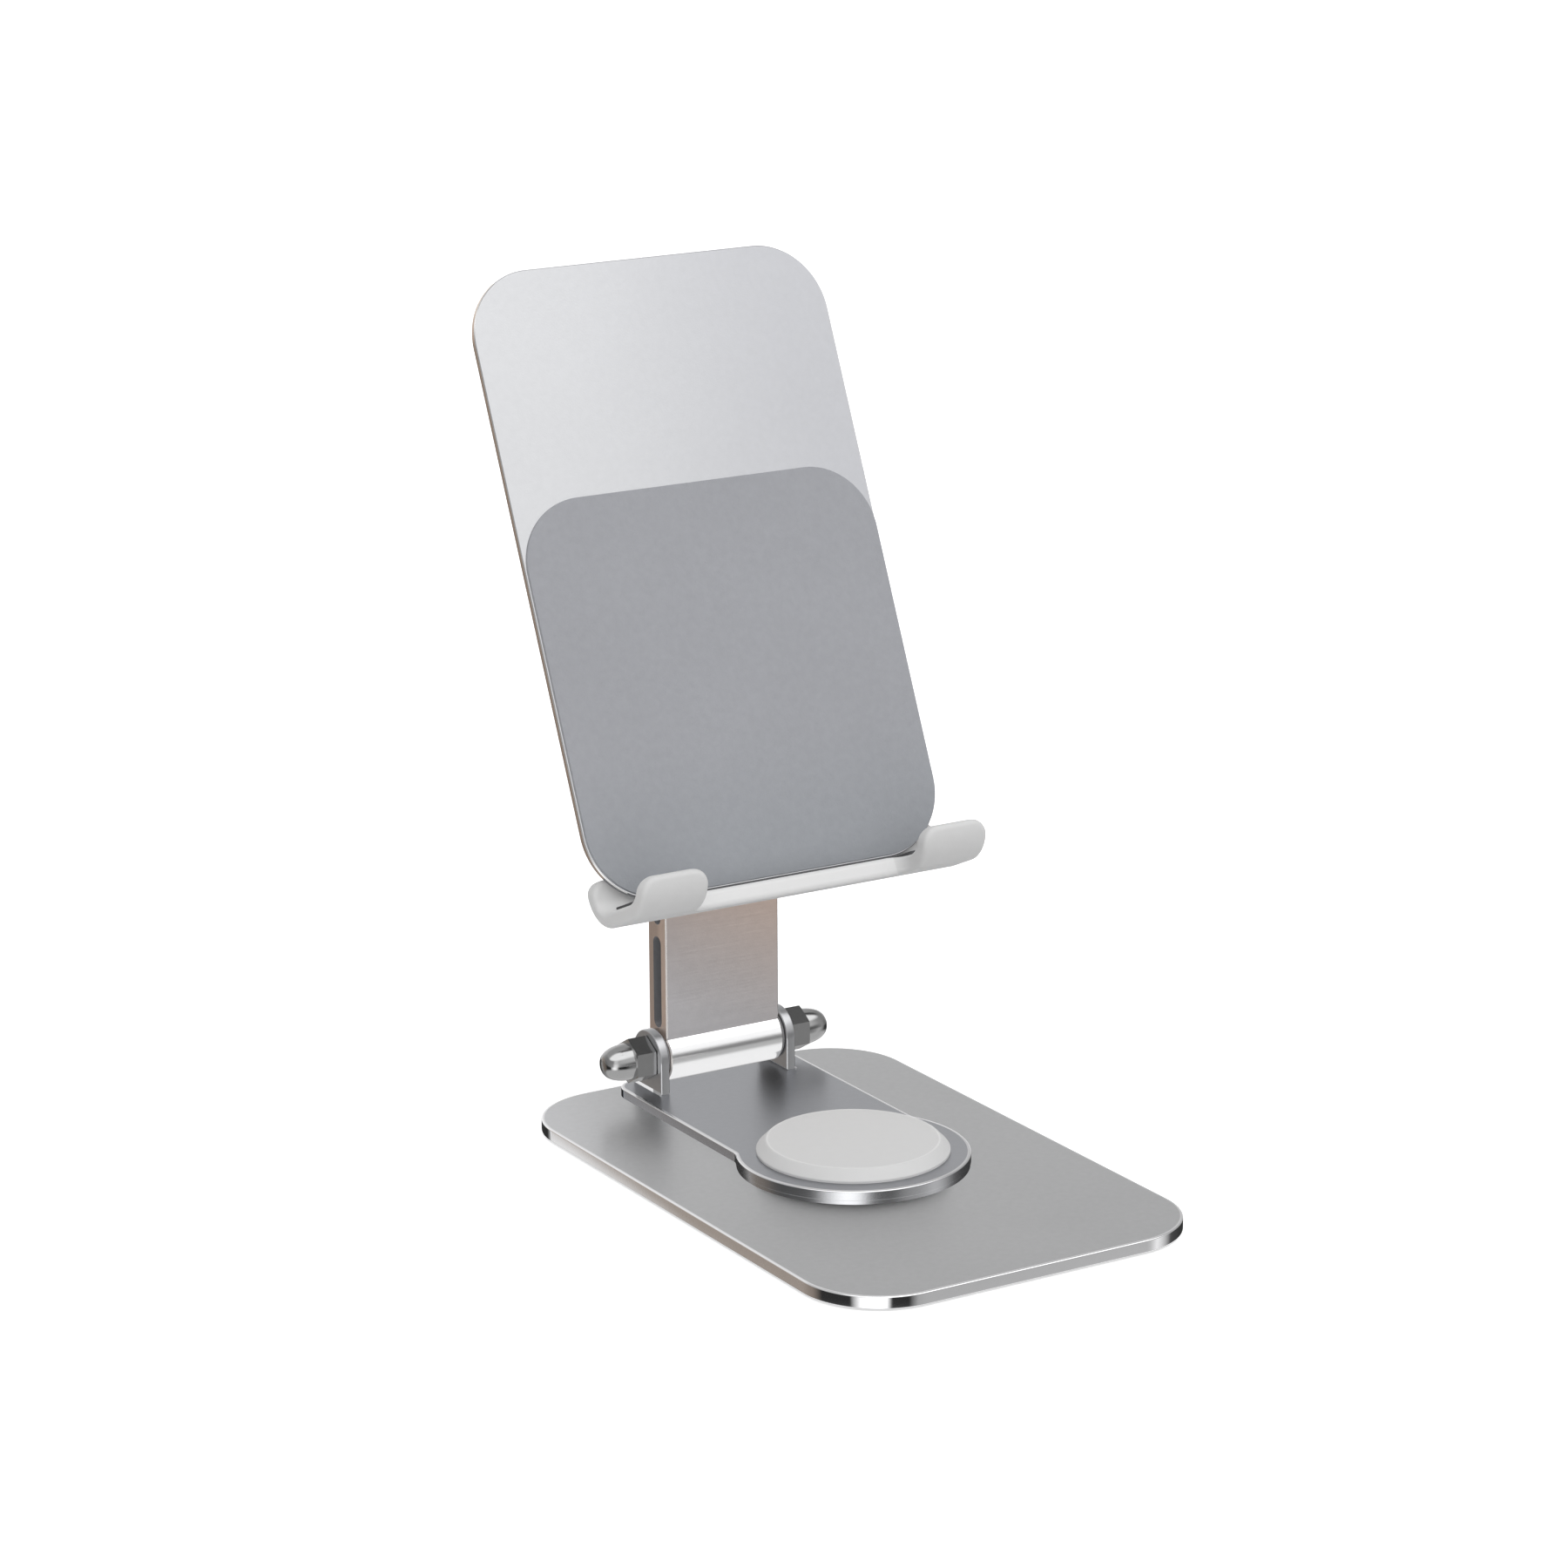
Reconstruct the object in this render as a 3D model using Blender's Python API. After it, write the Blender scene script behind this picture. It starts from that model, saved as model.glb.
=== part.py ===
"""Folding phone stand: a turning hinge plate, a slotted arm and a leaning rest.

Metres, +Z up, the front of the stand towards -Y. The origin is the middle of the
foot sheet's underside, on the axis that the hinge plate turns about.
"""
import math

import bmesh
import bpy
from mathutils import Matrix, Vector

mm = 0.001

# Seams and running clearances
SEAT = 0.2 * mm
RUN = 0.25 * mm
FINE_RUN = 0.15 * mm

# Base plate, with a silicone foot sheet let into its underside
BASE_WIDTH = 80.0 * mm
BASE_DEPTH = 126.0 * mm
BASE_THICK = 2.34 * mm
BASE_CORNER = 16.0 * mm
BASE_CHAMFER = 0.4 * mm
BASE_LOWER_EDGE = 0.3 * mm
FOOT_THICK = 1.0 * mm
FOOT_PROUD = 0.5 * mm
FOOT_MARGIN = 4.0 * mm
FOOT_EDGE = 0.25 * mm
BASE_TOP = FOOT_PROUD + BASE_THICK

# Swivel plate: a disc with a tongue that reaches back to the hinge
SWIVEL_THICK = 1.9 * mm
SWIVEL_LIFT = 0.8 * mm
SWIVEL_CHAMFER = 0.3 * mm
SWIVEL_LOWER_EDGE = 0.2 * mm
DISC_RADIUS = 22.55 * mm
TONGUE_HALF = 20.0 * mm
TONGUE_REAR = 58.0 * mm
TONGUE_CORNER = 4.5 * mm
NECK_FILLET = 3.0 * mm
SWIVEL_BOTTOM = BASE_TOP + SWIVEL_LIFT
SWIVEL_TOP = SWIVEL_BOTTOM + SWIVEL_THICK

# Pivot under the round pad
PIVOT_RADIUS = 4.0 * mm
PIVOT_HEAD_RADIUS = 7.0 * mm
PIVOT_HEAD_THICK = 0.7 * mm
PIVOT_WASHER_RADIUS = 22.2 * mm
PIVOT_NUT_FLATS = 13.0 * mm
PIVOT_NUT_THICK = 1.0 * mm
PAD_RADIUS = 18.6 * mm
PAD_TOP_RADIUS = 16.6 * mm
PAD_RISE = 2.44 * mm
PAD_SKIN = 0.8 * mm
PAD_POCKET_RADIUS = 8.4 * mm
PAD_CROWN = 0.5 * mm
PAD_RIM = 0.35 * mm

# Both hinges share one set of hardware
AXLE_RADIUS = 2.5 * mm
AXLE_HALF = 20.0 * mm
AXLE_EDGE = 0.4 * mm
BARREL_RADIUS = 5.3 * mm
BARREL_HALF = 12.9 * mm
BUSH_WALL = 0.75 * mm
FRICTION_WASHER_THICK = 0.3 * mm
FRICTION_WASHER_RADIUS = 4.9 * mm
EAR_INNER = 13.5 * mm
EAR_THICK = 2.0 * mm
EAR_RADIUS = 5.6 * mm
EAR_CHAMFER = 0.35 * mm
TENON_HALF = 3.5 * mm
TENON_SLOT_CORNER = 0.3 * mm
NUT_FLATS = 8.0 * mm
NUT_HEX_LENGTH = 4.25 * mm
NUT_LENGTH = 9.9 * mm
NUT_INNER_EDGE = 0.15 * mm
NUT_OUTER_EDGE = 0.2 * mm
DOME_RADIUS = 3.7 * mm
LOWER_AXIS = Vector((0.0, 52.1 * mm, 11.9 * mm))

# Arm: one extruded section, cut to length across its width
ARM_LENGTH = 73.1 * mm
ARM_HALF_THICK = 3.45 * mm
ARM_CHAMFER = 0.4 * mm
CHAMBER_WIDTH = 3.0 * mm
CHAMBER_COUNT = 3
CHAMBER_BRIDGE = 2.5 * mm
CHAMBER_FROM_AXIS = 5.8 * mm

# Leaning rest, measured from the upper hinge axis along its own slope
LEAN = math.radians(24.0)
PLATE_FRONT = 9.33 * mm
PLATE_THICK = 1.3 * mm
PLATE_WIDTH = 79.0 * mm
PLATE_HEIGHT = 123.7 * mm
PLATE_BELOW_AXIS = 38.7 * mm
PLATE_CORNER = 14.0 * mm
PLATE_CHAMFER = 0.35 * mm
PLATE_BACK_EDGE = 0.2 * mm
PAD_SHEET_THICK = 0.7 * mm
PAD_SHEET_HEIGHT = 77.8 * mm
PAD_SHEET_MARGIN = 0.35 * mm
PAD_SHEET_EDGE = 0.2 * mm

# Bracket that carries the rest on the upper axle
BRACKET_THICK = 1.5 * mm
BRACKET_HALF_HEIGHT = 9.5 * mm
BRACKET_CORNER = 2.5 * mm
BRACKET_SCREW_X = 9.0 * mm
BRACKET_SCREW_H = 7.2 * mm
SCREW_RADIUS = 1.25 * mm
SCREW_HEAD_RADIUS = 2.4 * mm
SCREW_HEAD_DEPTH = 1.0 * mm
SCREW_SUNK = 0.1 * mm

# Moulded cradle, measured from the rest plate's front face and bottom edge: a strip of
# even thickness, cut to its outline and bent up behind the plate and in front of the phone
CRADLE_HALF = 39.0 * mm
CRADLE_THICK = 3.15 * mm
CRADLE_EDGE = 0.9 * mm
CRADLE_WALL = -1.7 * mm
CRADLE_WALL_TOP = 5.0 * mm
CRADLE_WALL_CORNER = 3.0 * mm
CRADLE_FLOOR = -1.6 * mm
CRADLE_HEEL_INNER = 3.0 * mm
CRADLE_HEEL_OUTER = 7.3 * mm
CRADLE_MIDDLE_FRONT = 6.6 * mm
CRADLE_END_CORNER = 20.0 * mm
HOOK_INNER = 24.0 * mm
HOOK_OUTER = 38.4 * mm
HOOK_CORNER = 3.2 * mm
HOOK_FILLET = 3.5 * mm
HOOK_BEND_START = 9.7 * mm
HOOK_BEND_RADIUS = 5.1 * mm
HOOK_BEND = math.radians(82.0)
STRIP_HALF = 36.2 * mm
STRIP_THICK = 0.5 * mm
STRIP_BACK = 1.2 * mm
STRIP_LIP = 1.7 * mm
STRIP_CORNER = 0.6 * mm
CRADLE_SCREW_X = 18.0 * mm
CRADLE_SCREW_V = 2.4 * mm
CRADLE_SCREW_RADIUS = 1.0 * mm
CRADLE_SCREW_HEAD_RADIUS = 1.6 * mm
CRADLE_SCREW_HEAD_DEPTH = 0.9 * mm
CRADLE_SCREW_SUNK = 0.3 * mm

# Facets of round forms
CORNER_STEPS = 9
SMALL_CORNER_STEPS = 4
EDGE_STEPS = 3
SLOT_STEPS = 8
BEND_STEPS = 6
CRADLE_EDGE_STEPS = 2
HALF_ROUND_STEPS = 16
BARREL_STEPS = 28
ROUND_STEPS = 24
WIDE_ROUND_STEPS = 56
SCREW_STEPS = 16
CREASE = math.radians(32.0)

# Frames that turn a drawing plane (u, v) with depth w into object axes
FLAT = Matrix.Identity(4)
ACROSS = Matrix(((0, 0, 1, 0), (1, 0, 0, 0), (0, 1, 0, 0), (0, 0, 0, 1)))
FACING = Matrix(((1, 0, 0, 0), (0, 0, -1, 0), (0, 1, 0, 0), (0, 0, 0, 1)))


def clear_scene():
    for obj in list(bpy.data.objects):
        bpy.data.objects.remove(obj, do_unlink=True)


def finish(name, colour, roughness, metallic):
    material = bpy.data.materials.new(name)
    material.use_nodes = True
    shader = material.node_tree.nodes["Principled BSDF"]
    shader.inputs["Base Color"].default_value = (*colour, 1.0)
    shader.inputs["Roughness"].default_value = roughness
    shader.inputs["Metallic"].default_value = metallic
    return material


def make_finishes():
    return {
        "satin_steel": finish("satin_steel", (0.38, 0.38, 0.39), 0.35, 1.0),
        "polished_steel": finish("polished_steel", (0.75, 0.75, 0.76), 0.12, 1.0),
        "dark_nickel": finish("dark_nickel", (0.22, 0.22, 0.23), 0.18, 1.0),
        "silver_sheet": finish("silver_sheet", (0.74, 0.75, 0.77), 0.42, 1.0),
        "arm_aluminium": finish("arm_aluminium", (0.55, 0.52, 0.50), 0.35, 1.0),
        "white_silicone": finish("white_silicone", (0.68, 0.68, 0.67), 0.55, 0.0),
        "grey_silicone": finish("grey_silicone", (0.36, 0.37, 0.39), 0.70, 0.0),
        "dark_silicone": finish("dark_silicone", (0.05, 0.05, 0.055), 0.75, 0.0),
        "natural_nylon": finish("natural_nylon", (0.60, 0.59, 0.55), 0.45, 0.0),
    }


def add_empty(name, parent=None, location=(0.0, 0.0, 0.0), tilt=0.0):
    empty = bpy.data.objects.new(name, None)
    bpy.context.collection.objects.link(empty)
    empty.parent = parent
    empty.location = location
    empty.rotation_euler = (tilt, 0.0, 0.0)
    return empty


def add_body(name, bm, material=None, parent=None, frame=FLAT):
    """Turn a bmesh into a named object, drawn in one of the frames above."""
    bmesh.ops.transform(bm, matrix=frame, verts=bm.verts)
    bmesh.ops.recalc_face_normals(bm, faces=bm.faces)
    mesh = bpy.data.meshes.new(name)
    bm.to_mesh(mesh)
    bm.free()
    obj = bpy.data.objects.new(name, mesh)
    bpy.context.collection.objects.link(obj)
    obj.parent = parent
    if material:
        mesh.materials.append(material)
    return obj


def shade_round(obj):
    obj.data.shade_smooth()
    obj.data.set_sharp_from_angle(angle=CREASE)


def combine(obj, operation, tools):
    """Apply one Boolean per tool, then drop the tools."""
    for tool in tools:
        tool.parent = obj.parent
        tool.hide_render = True
        tool.display_type = "WIRE"
        modifier = obj.modifiers.new(operation.lower(), "BOOLEAN")
        modifier.operation = operation
        modifier.solver = "EXACT"
        modifier.object = tool
    shaped = obj.evaluated_get(bpy.context.evaluated_depsgraph_get())
    mesh = bpy.data.meshes.new_from_object(shaped)
    obj.modifiers.clear()
    old_mesh = obj.data
    obj.data = mesh
    bpy.data.meshes.remove(old_mesh)
    mesh.name = obj.name
    for tool in tools:
        bpy.data.objects.remove(tool, do_unlink=True)
    return obj


def arc(centre, radius, start, end, steps):
    """Points on a circular arc, angles in degrees, both ends included."""
    points = []
    for step in range(steps + 1):
        angle = math.radians(start + (end - start) * step / steps)
        points.append((centre[0] + radius * math.cos(angle), centre[1] + radius * math.sin(angle)))
    return points


def round_outline(radius, steps=ROUND_STEPS, centre=(0.0, 0.0)):
    return arc(centre, radius, 0.0, 360.0, steps)[:-1]


def rounded_polygon(corners, steps=CORNER_STEPS):
    """Outline through (u, v, radius) corners, each rounded by an arc of its radius."""
    points = []
    for index, (u, v, radius) in enumerate(corners):
        here = Vector((u, v))
        before = (Vector(corners[index - 1][:2]) - here).normalized()
        after = (Vector(corners[(index + 1) % len(corners)][:2]) - here).normalized()
        if radius == 0.0:
            points.append((u, v))
            continue
        half = before.angle(after) / 2.0
        centre = here + (before + after).normalized() * radius / math.sin(half)
        first = here + before * radius / math.tan(half) - centre
        last = here + after * radius / math.tan(half) - centre
        turn = first.angle_signed(last)
        for step in range(steps + 1):
            angle = math.atan2(first.y, first.x) - turn * step / steps
            points.append((centre.x + radius * math.cos(angle), centre.y + radius * math.sin(angle)))
    return points


def rounded_rectangle(left, right, bottom, top, radius, steps=CORNER_STEPS):
    corners = ((left, bottom), (right, bottom), (right, top), (left, top))
    return rounded_polygon([(u, v, radius) for u, v in corners], steps)


def slot_outline(half_width, low, high, steps=SLOT_STEPS):
    """A long hole with round ends, its length along v."""
    return (
        arc((0.0, high - half_width), half_width, 0.0, 180.0, steps)
        + arc((0.0, low + half_width), half_width, 180.0, 360.0, steps)
    )


def slab(outline, near, far, near_edge=0.0, far_edge=0.0, segments=1):
    """Extrude an outline from depth near to far and soften its two rims."""
    bm = bmesh.new()
    face = bm.faces.new([bm.verts.new((u, v, near)) for u, v in outline])
    grown = bmesh.ops.extrude_face_region(bm, geom=[face])
    lifted = [item for item in grown["geom"] if isinstance(item, bmesh.types.BMVert)]
    bmesh.ops.translate(bm, vec=(0.0, 0.0, far - near), verts=lifted)
    bmesh.ops.recalc_face_normals(bm, faces=bm.faces)
    for depth, size in ((near, near_edge), (far, far_edge)):
        if size:
            rim = [edge for edge in bm.edges if all(abs(v.co.z - depth) < 1e-7 for v in edge.verts)]
            bmesh.ops.bevel(bm, geom=rim, offset=size, segments=segments, profile=0.5,
                            affect="EDGES", material=-1)
    return bm


def turned(profile, steps=ROUND_STEPS):
    """Spin a closed (radius, depth) profile once round the depth axis."""
    bm = bmesh.new()
    verts = [bm.verts.new((radius, 0.0, depth)) for radius, depth in profile]
    edges = [bm.edges.new((verts[i - 1], verts[i])) for i in range(1, len(verts))]
    if profile[0][0] > 0.0:
        edges.append(bm.edges.new((verts[-1], verts[0])))
    bmesh.ops.spin(bm, geom=verts + edges, cent=(0.0, 0.0, 0.0), axis=(0.0, 0.0, 1.0),
                   angle=2.0 * math.pi, steps=steps, use_merge=True)
    bmesh.ops.remove_doubles(bm, verts=bm.verts, dist=1e-6)
    return bm


def ring(inner, outer, near, far, steps=ROUND_STEPS):
    return turned(((inner, near), (outer, near), (outer, far), (inner, far)), steps)


def rod(radius, near, far, edge=0.0, steps=ROUND_STEPS):
    profile = [(0.0, near), (radius - edge, near)]
    if edge:
        profile += [(radius, near + edge), (radius, far - edge)]
    profile += [(radius - edge, far), (0.0, far)]
    return turned(profile, steps)


def hexagon(flats):
    return round_outline(flats / 2.0 / math.cos(math.pi / 6.0), steps=6)


def build_base(finishes):
    half_w = BASE_WIDTH / 2.0
    half_d = BASE_DEPTH / 2.0
    outline = rounded_rectangle(-half_w, half_w, -half_d, half_d, BASE_CORNER)
    plate_bm = slab(outline, FOOT_PROUD, BASE_TOP, BASE_LOWER_EDGE, BASE_CHAMFER)
    plate = add_body("base_plate", plate_bm, finishes["satin_steel"])
    recess_w = half_w - FOOT_MARGIN
    recess_d = half_d - FOOT_MARGIN
    recess_top = FOOT_THICK + SEAT
    recess_corner = BASE_CORNER - FOOT_MARGIN
    recess_outline = rounded_rectangle(-recess_w, recess_w, -recess_d, recess_d, recess_corner)
    head_top = recess_top + PIVOT_HEAD_THICK
    recess = add_body("foot_recess", slab(recess_outline, -FOOT_THICK, recess_top))
    counterbore = add_body("head_counterbore", rod(PIVOT_HEAD_RADIUS + RUN, 0.0, head_top + SEAT))
    bore = add_body("pivot_bore", rod(PIVOT_RADIUS + RUN, 0.0, 2.0 * BASE_TOP))
    combine(plate, "DIFFERENCE", (recess, counterbore, bore))

    sheet_w = recess_w - RUN
    sheet_d = recess_d - RUN
    sheet_outline = rounded_rectangle(-sheet_w, sheet_w, -sheet_d, sheet_d, recess_corner - RUN)
    add_body("foot_pad", slab(sheet_outline, 0.0, FOOT_THICK, FOOT_EDGE), finishes["dark_silicone"])

    nut_bottom = SWIVEL_TOP + SEAT
    nut_top = nut_bottom + PIVOT_NUT_THICK
    bolt_profile = (
        (0.0, recess_top),
        (PIVOT_HEAD_RADIUS, recess_top),
        (PIVOT_HEAD_RADIUS, head_top),
        (PIVOT_RADIUS, head_top),
        (PIVOT_RADIUS, nut_top),
        (0.0, nut_top),
    )
    add_body("pivot_bolt", turned(bolt_profile), finishes["polished_steel"])
    washer = ring(PIVOT_RADIUS + RUN, PIVOT_WASHER_RADIUS, BASE_TOP + SEAT, SWIVEL_BOTTOM - SEAT,
                  WIDE_ROUND_STEPS)
    add_body("pivot_washer", washer, finishes["natural_nylon"])
    nut_bm = slab(hexagon(PIVOT_NUT_FLATS), nut_bottom, nut_top)
    nut = add_body("pivot_nut", nut_bm, finishes["polished_steel"])
    combine(nut, "DIFFERENCE", [add_body("nut_bore", rod(PIVOT_RADIUS + RUN, 0.0, 2.0 * nut_top))])


def keyhole_outline():
    """Disc and tongue joined by two neck fillets, drawn once round from the front."""
    reach = DISC_RADIUS + NECK_FILLET
    side = TONGUE_HALF + NECK_FILLET
    neck_v = math.sqrt(reach ** 2 - side ** 2)
    neck_angle = math.degrees(math.atan2(neck_v, side))
    rear = TONGUE_REAR - TONGUE_CORNER
    inner = TONGUE_HALF - TONGUE_CORNER
    outline = arc((0.0, 0.0), DISC_RADIUS, -180.0 - neck_angle, neck_angle, WIDE_ROUND_STEPS * 5 // 8)
    outline += arc((side, neck_v), NECK_FILLET, 180.0 + neck_angle, 180.0, SMALL_CORNER_STEPS)[1:]
    outline += arc((inner, rear), TONGUE_CORNER, 0.0, 90.0, CORNER_STEPS)
    outline += arc((-inner, rear), TONGUE_CORNER, 90.0, 180.0, CORNER_STEPS)
    outline += arc((-side, neck_v), NECK_FILLET, 0.0, -neck_angle, SMALL_CORNER_STEPS)[:-1]
    return outline


def build_swivel(finishes, swivel):
    plate_bm = slab(keyhole_outline(), SWIVEL_BOTTOM, SWIVEL_TOP, SWIVEL_LOWER_EDGE, SWIVEL_CHAMFER)
    plate = add_body("swivel_plate", plate_bm, finishes["satin_steel"], swivel)
    cutters = [add_body("swivel_bore", rod(PIVOT_RADIUS + RUN, 0.0, 2.0 * SWIVEL_TOP))]
    for side in (-1, 1):
        middle = side * (EAR_INNER + EAR_THICK / 2.0)
        half = EAR_THICK / 2.0 + RUN
        low = LOWER_AXIS.y - TENON_HALF - RUN
        high = LOWER_AXIS.y + TENON_HALF + RUN
        outline = rounded_rectangle(middle - half, middle + half, low, high, TENON_SLOT_CORNER,
                                    SMALL_CORNER_STEPS)
        cutters.append(add_body("tenon_slot", slab(outline, 0.0, 2.0 * SWIVEL_TOP)))
    combine(plate, "DIFFERENCE", cutters)

    bottom = SWIVEL_TOP + SEAT
    top = SWIVEL_TOP + PAD_RISE
    profile = [
        (0.0, top - PAD_SKIN),
        (PAD_POCKET_RADIUS, top - PAD_SKIN),
        (PAD_POCKET_RADIUS, bottom),
        (PAD_RADIUS, bottom),
        (PAD_RADIUS, bottom + PAD_RIM),
    ]
    profile += arc((PAD_TOP_RADIUS, top - PAD_CROWN), PAD_CROWN, 45.0, 90.0, EDGE_STEPS)
    profile.append((0.0, top))
    add_body("swivel_pad", turned(profile, WIDE_ROUND_STEPS), finishes["white_silicone"], swivel)


def ear_outline(foot, tenon_end):
    """A round-topped ear with a narrower tenon below its foot, about its own axle hole."""
    return (
        arc((0.0, 0.0), EAR_RADIUS, 0.0, 180.0, HALF_ROUND_STEPS)
        + [(-EAR_RADIUS, foot), (-TENON_HALF, foot), (-TENON_HALF, tenon_end)]
        + [(TENON_HALF, tenon_end), (TENON_HALF, foot), (EAR_RADIUS, foot)]
    )


def build_ears(finishes, hinge):
    foot = SWIVEL_TOP + SEAT - LOWER_AXIS.z
    tenon_end = SWIVEL_BOTTOM + SEAT - LOWER_AXIS.z
    for side, name in ((-1, "hinge_ear_left"), (1, "hinge_ear_right")):
        near, far = sorted((side * EAR_INNER, side * (EAR_INNER + EAR_THICK)))
        ear_bm = slab(ear_outline(foot, tenon_end), near, far, EAR_CHAMFER, EAR_CHAMFER)
        ear = add_body(name, ear_bm, finishes["polished_steel"], hinge, ACROSS)
        bore = add_body("ear_bore", rod(AXLE_RADIUS + RUN, -AXLE_HALF, AXLE_HALF), frame=ACROSS)
        combine(ear, "DIFFERENCE", [bore])


def acorn_nut_mesh():
    """Hexagon and tapering dome round a blind bore, drawn outwards from the face on the ear."""
    hexagon_bm = slab(hexagon(NUT_FLATS), 0.0, NUT_HEX_LENGTH, NUT_INNER_EDGE, NUT_OUTER_EDGE)
    nut = add_body("acorn_nut", hexagon_bm)
    profile = [(0.0, NUT_HEX_LENGTH / 2.0), (DOME_RADIUS, NUT_HEX_LENGTH / 2.0)]
    for radius, rise in arc((0.0, 0.0), 1.0, 0.0, 90.0, SLOT_STEPS)[:-1]:
        profile.append((radius * DOME_RADIUS, NUT_HEX_LENGTH + rise * (NUT_LENGTH - NUT_HEX_LENGTH)))
    profile.append((0.0, NUT_LENGTH))
    combine(nut, "UNION", [add_body("nut_dome", turned(profile))])
    bore_end = AXLE_HALF - EAR_INNER - EAR_THICK
    bore = rod(AXLE_RADIUS + RUN, -bore_end, bore_end, steps=SCREW_STEPS)
    combine(nut, "DIFFERENCE", [add_body("nut_bore", bore)])
    mesh = nut.data
    bpy.data.objects.remove(nut, do_unlink=True)
    return mesh


def build_hinge_hardware(prefix, finishes, hinge, nut_mesh):
    """Axle, bush, friction washers and two acorn nuts on one hinge axis."""
    axle = rod(AXLE_RADIUS, -AXLE_HALF, AXLE_HALF, AXLE_EDGE)
    add_body(prefix + "_axle", axle, finishes["polished_steel"], hinge, ACROSS)
    washer_near = BARREL_HALF + FINE_RUN
    for side, word in ((-1, "left"), (1, "right")):
        near, far = sorted((side * washer_near, side * (washer_near + FRICTION_WASHER_THICK)))
        washer = ring(AXLE_RADIUS + RUN, FRICTION_WASHER_RADIUS, near, far)
        add_body(f"{prefix}_friction_washer_{word}", washer, finishes["natural_nylon"], hinge, ACROSS)
        nut = bpy.data.objects.new(f"{prefix}_acorn_nut_{word}", nut_mesh)
        bpy.context.collection.objects.link(nut)
        nut.parent = hinge
        nut.location = (side * (EAR_INNER + EAR_THICK + SEAT), 0.0, 0.0)
        nut.rotation_euler = (0.0, side * math.pi / 2.0, 0.0)


def arm_outline():
    """Two barrels on one web, about the lower axis with the length along v."""
    neck = math.degrees(math.acos(ARM_HALF_THICK / BARREL_RADIUS))
    lower = arc((0.0, 0.0), BARREL_RADIUS, 180.0 - neck, 360.0 + neck, BARREL_STEPS)
    upper = arc((0.0, ARM_LENGTH), BARREL_RADIUS, -neck, 180.0 + neck, BARREL_STEPS)
    return lower + upper


def build_arm(finishes, arm_pivot):
    arm_bm = slab(arm_outline(), -BARREL_HALF, BARREL_HALF, ARM_CHAMFER, ARM_CHAMFER)
    arm = add_body("arm", arm_bm, finishes["arm_aluminium"], arm_pivot, ACROSS)
    bush_outer = AXLE_RADIUS + RUN + BUSH_WALL
    bore_radius = bush_outer + SEAT
    cutters = []
    for height in (0.0, ARM_LENGTH):
        outline = round_outline(bore_radius, centre=(0.0, height))
        cutters.append(add_body("barrel_bore", slab(outline, -AXLE_HALF, AXLE_HALF), frame=ACROSS))
    span = ARM_LENGTH - 2.0 * CHAMBER_FROM_AXIS
    length = (span - (CHAMBER_COUNT - 1) * CHAMBER_BRIDGE) / CHAMBER_COUNT
    for index in range(CHAMBER_COUNT):
        low = CHAMBER_FROM_AXIS + index * (length + CHAMBER_BRIDGE)
        outline = slot_outline(CHAMBER_WIDTH / 2.0, low, low + length)
        cutters.append(add_body("chamber", slab(outline, -AXLE_HALF, AXLE_HALF), frame=ACROSS))
    combine(arm, "DIFFERENCE", cutters)
    for prefix, height in (("lower", 0.0), ("upper", ARM_LENGTH)):
        bush_half = BARREL_HALF - SEAT
        bush = ring(AXLE_RADIUS + RUN, bush_outer, -bush_half, bush_half)
        bmesh.ops.translate(bush, vec=(0.0, height, 0.0), verts=bush.verts)
        add_body(prefix + "_bush", bush, finishes["natural_nylon"], arm_pivot, ACROSS)


def countersunk(radius, head_radius, head_depth, front, end, grow=0.0):
    """Screw or its hole: a cone from the head face at front, then a shank to end."""
    step = -1.0 if end < front else 1.0
    profile = (
        (0.0, front - step * grow),
        (head_radius + grow, front - step * grow),
        (head_radius + grow, front),
        (radius + grow, front + step * head_depth),
        (radius + grow, end + step * grow),
        (0.0, end + step * grow),
    )
    return turned(profile if grow else profile[:1] + profile[2:], SCREW_STEPS)


def moved(bm, u, v):
    bmesh.ops.translate(bm, vec=(u, v, 0.0), verts=bm.verts)
    return bm


def bracket_screw_places():
    return [(x * BRACKET_SCREW_X, h * BRACKET_SCREW_H) for x in (-1, 1) for h in (-1, 1)]


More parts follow.
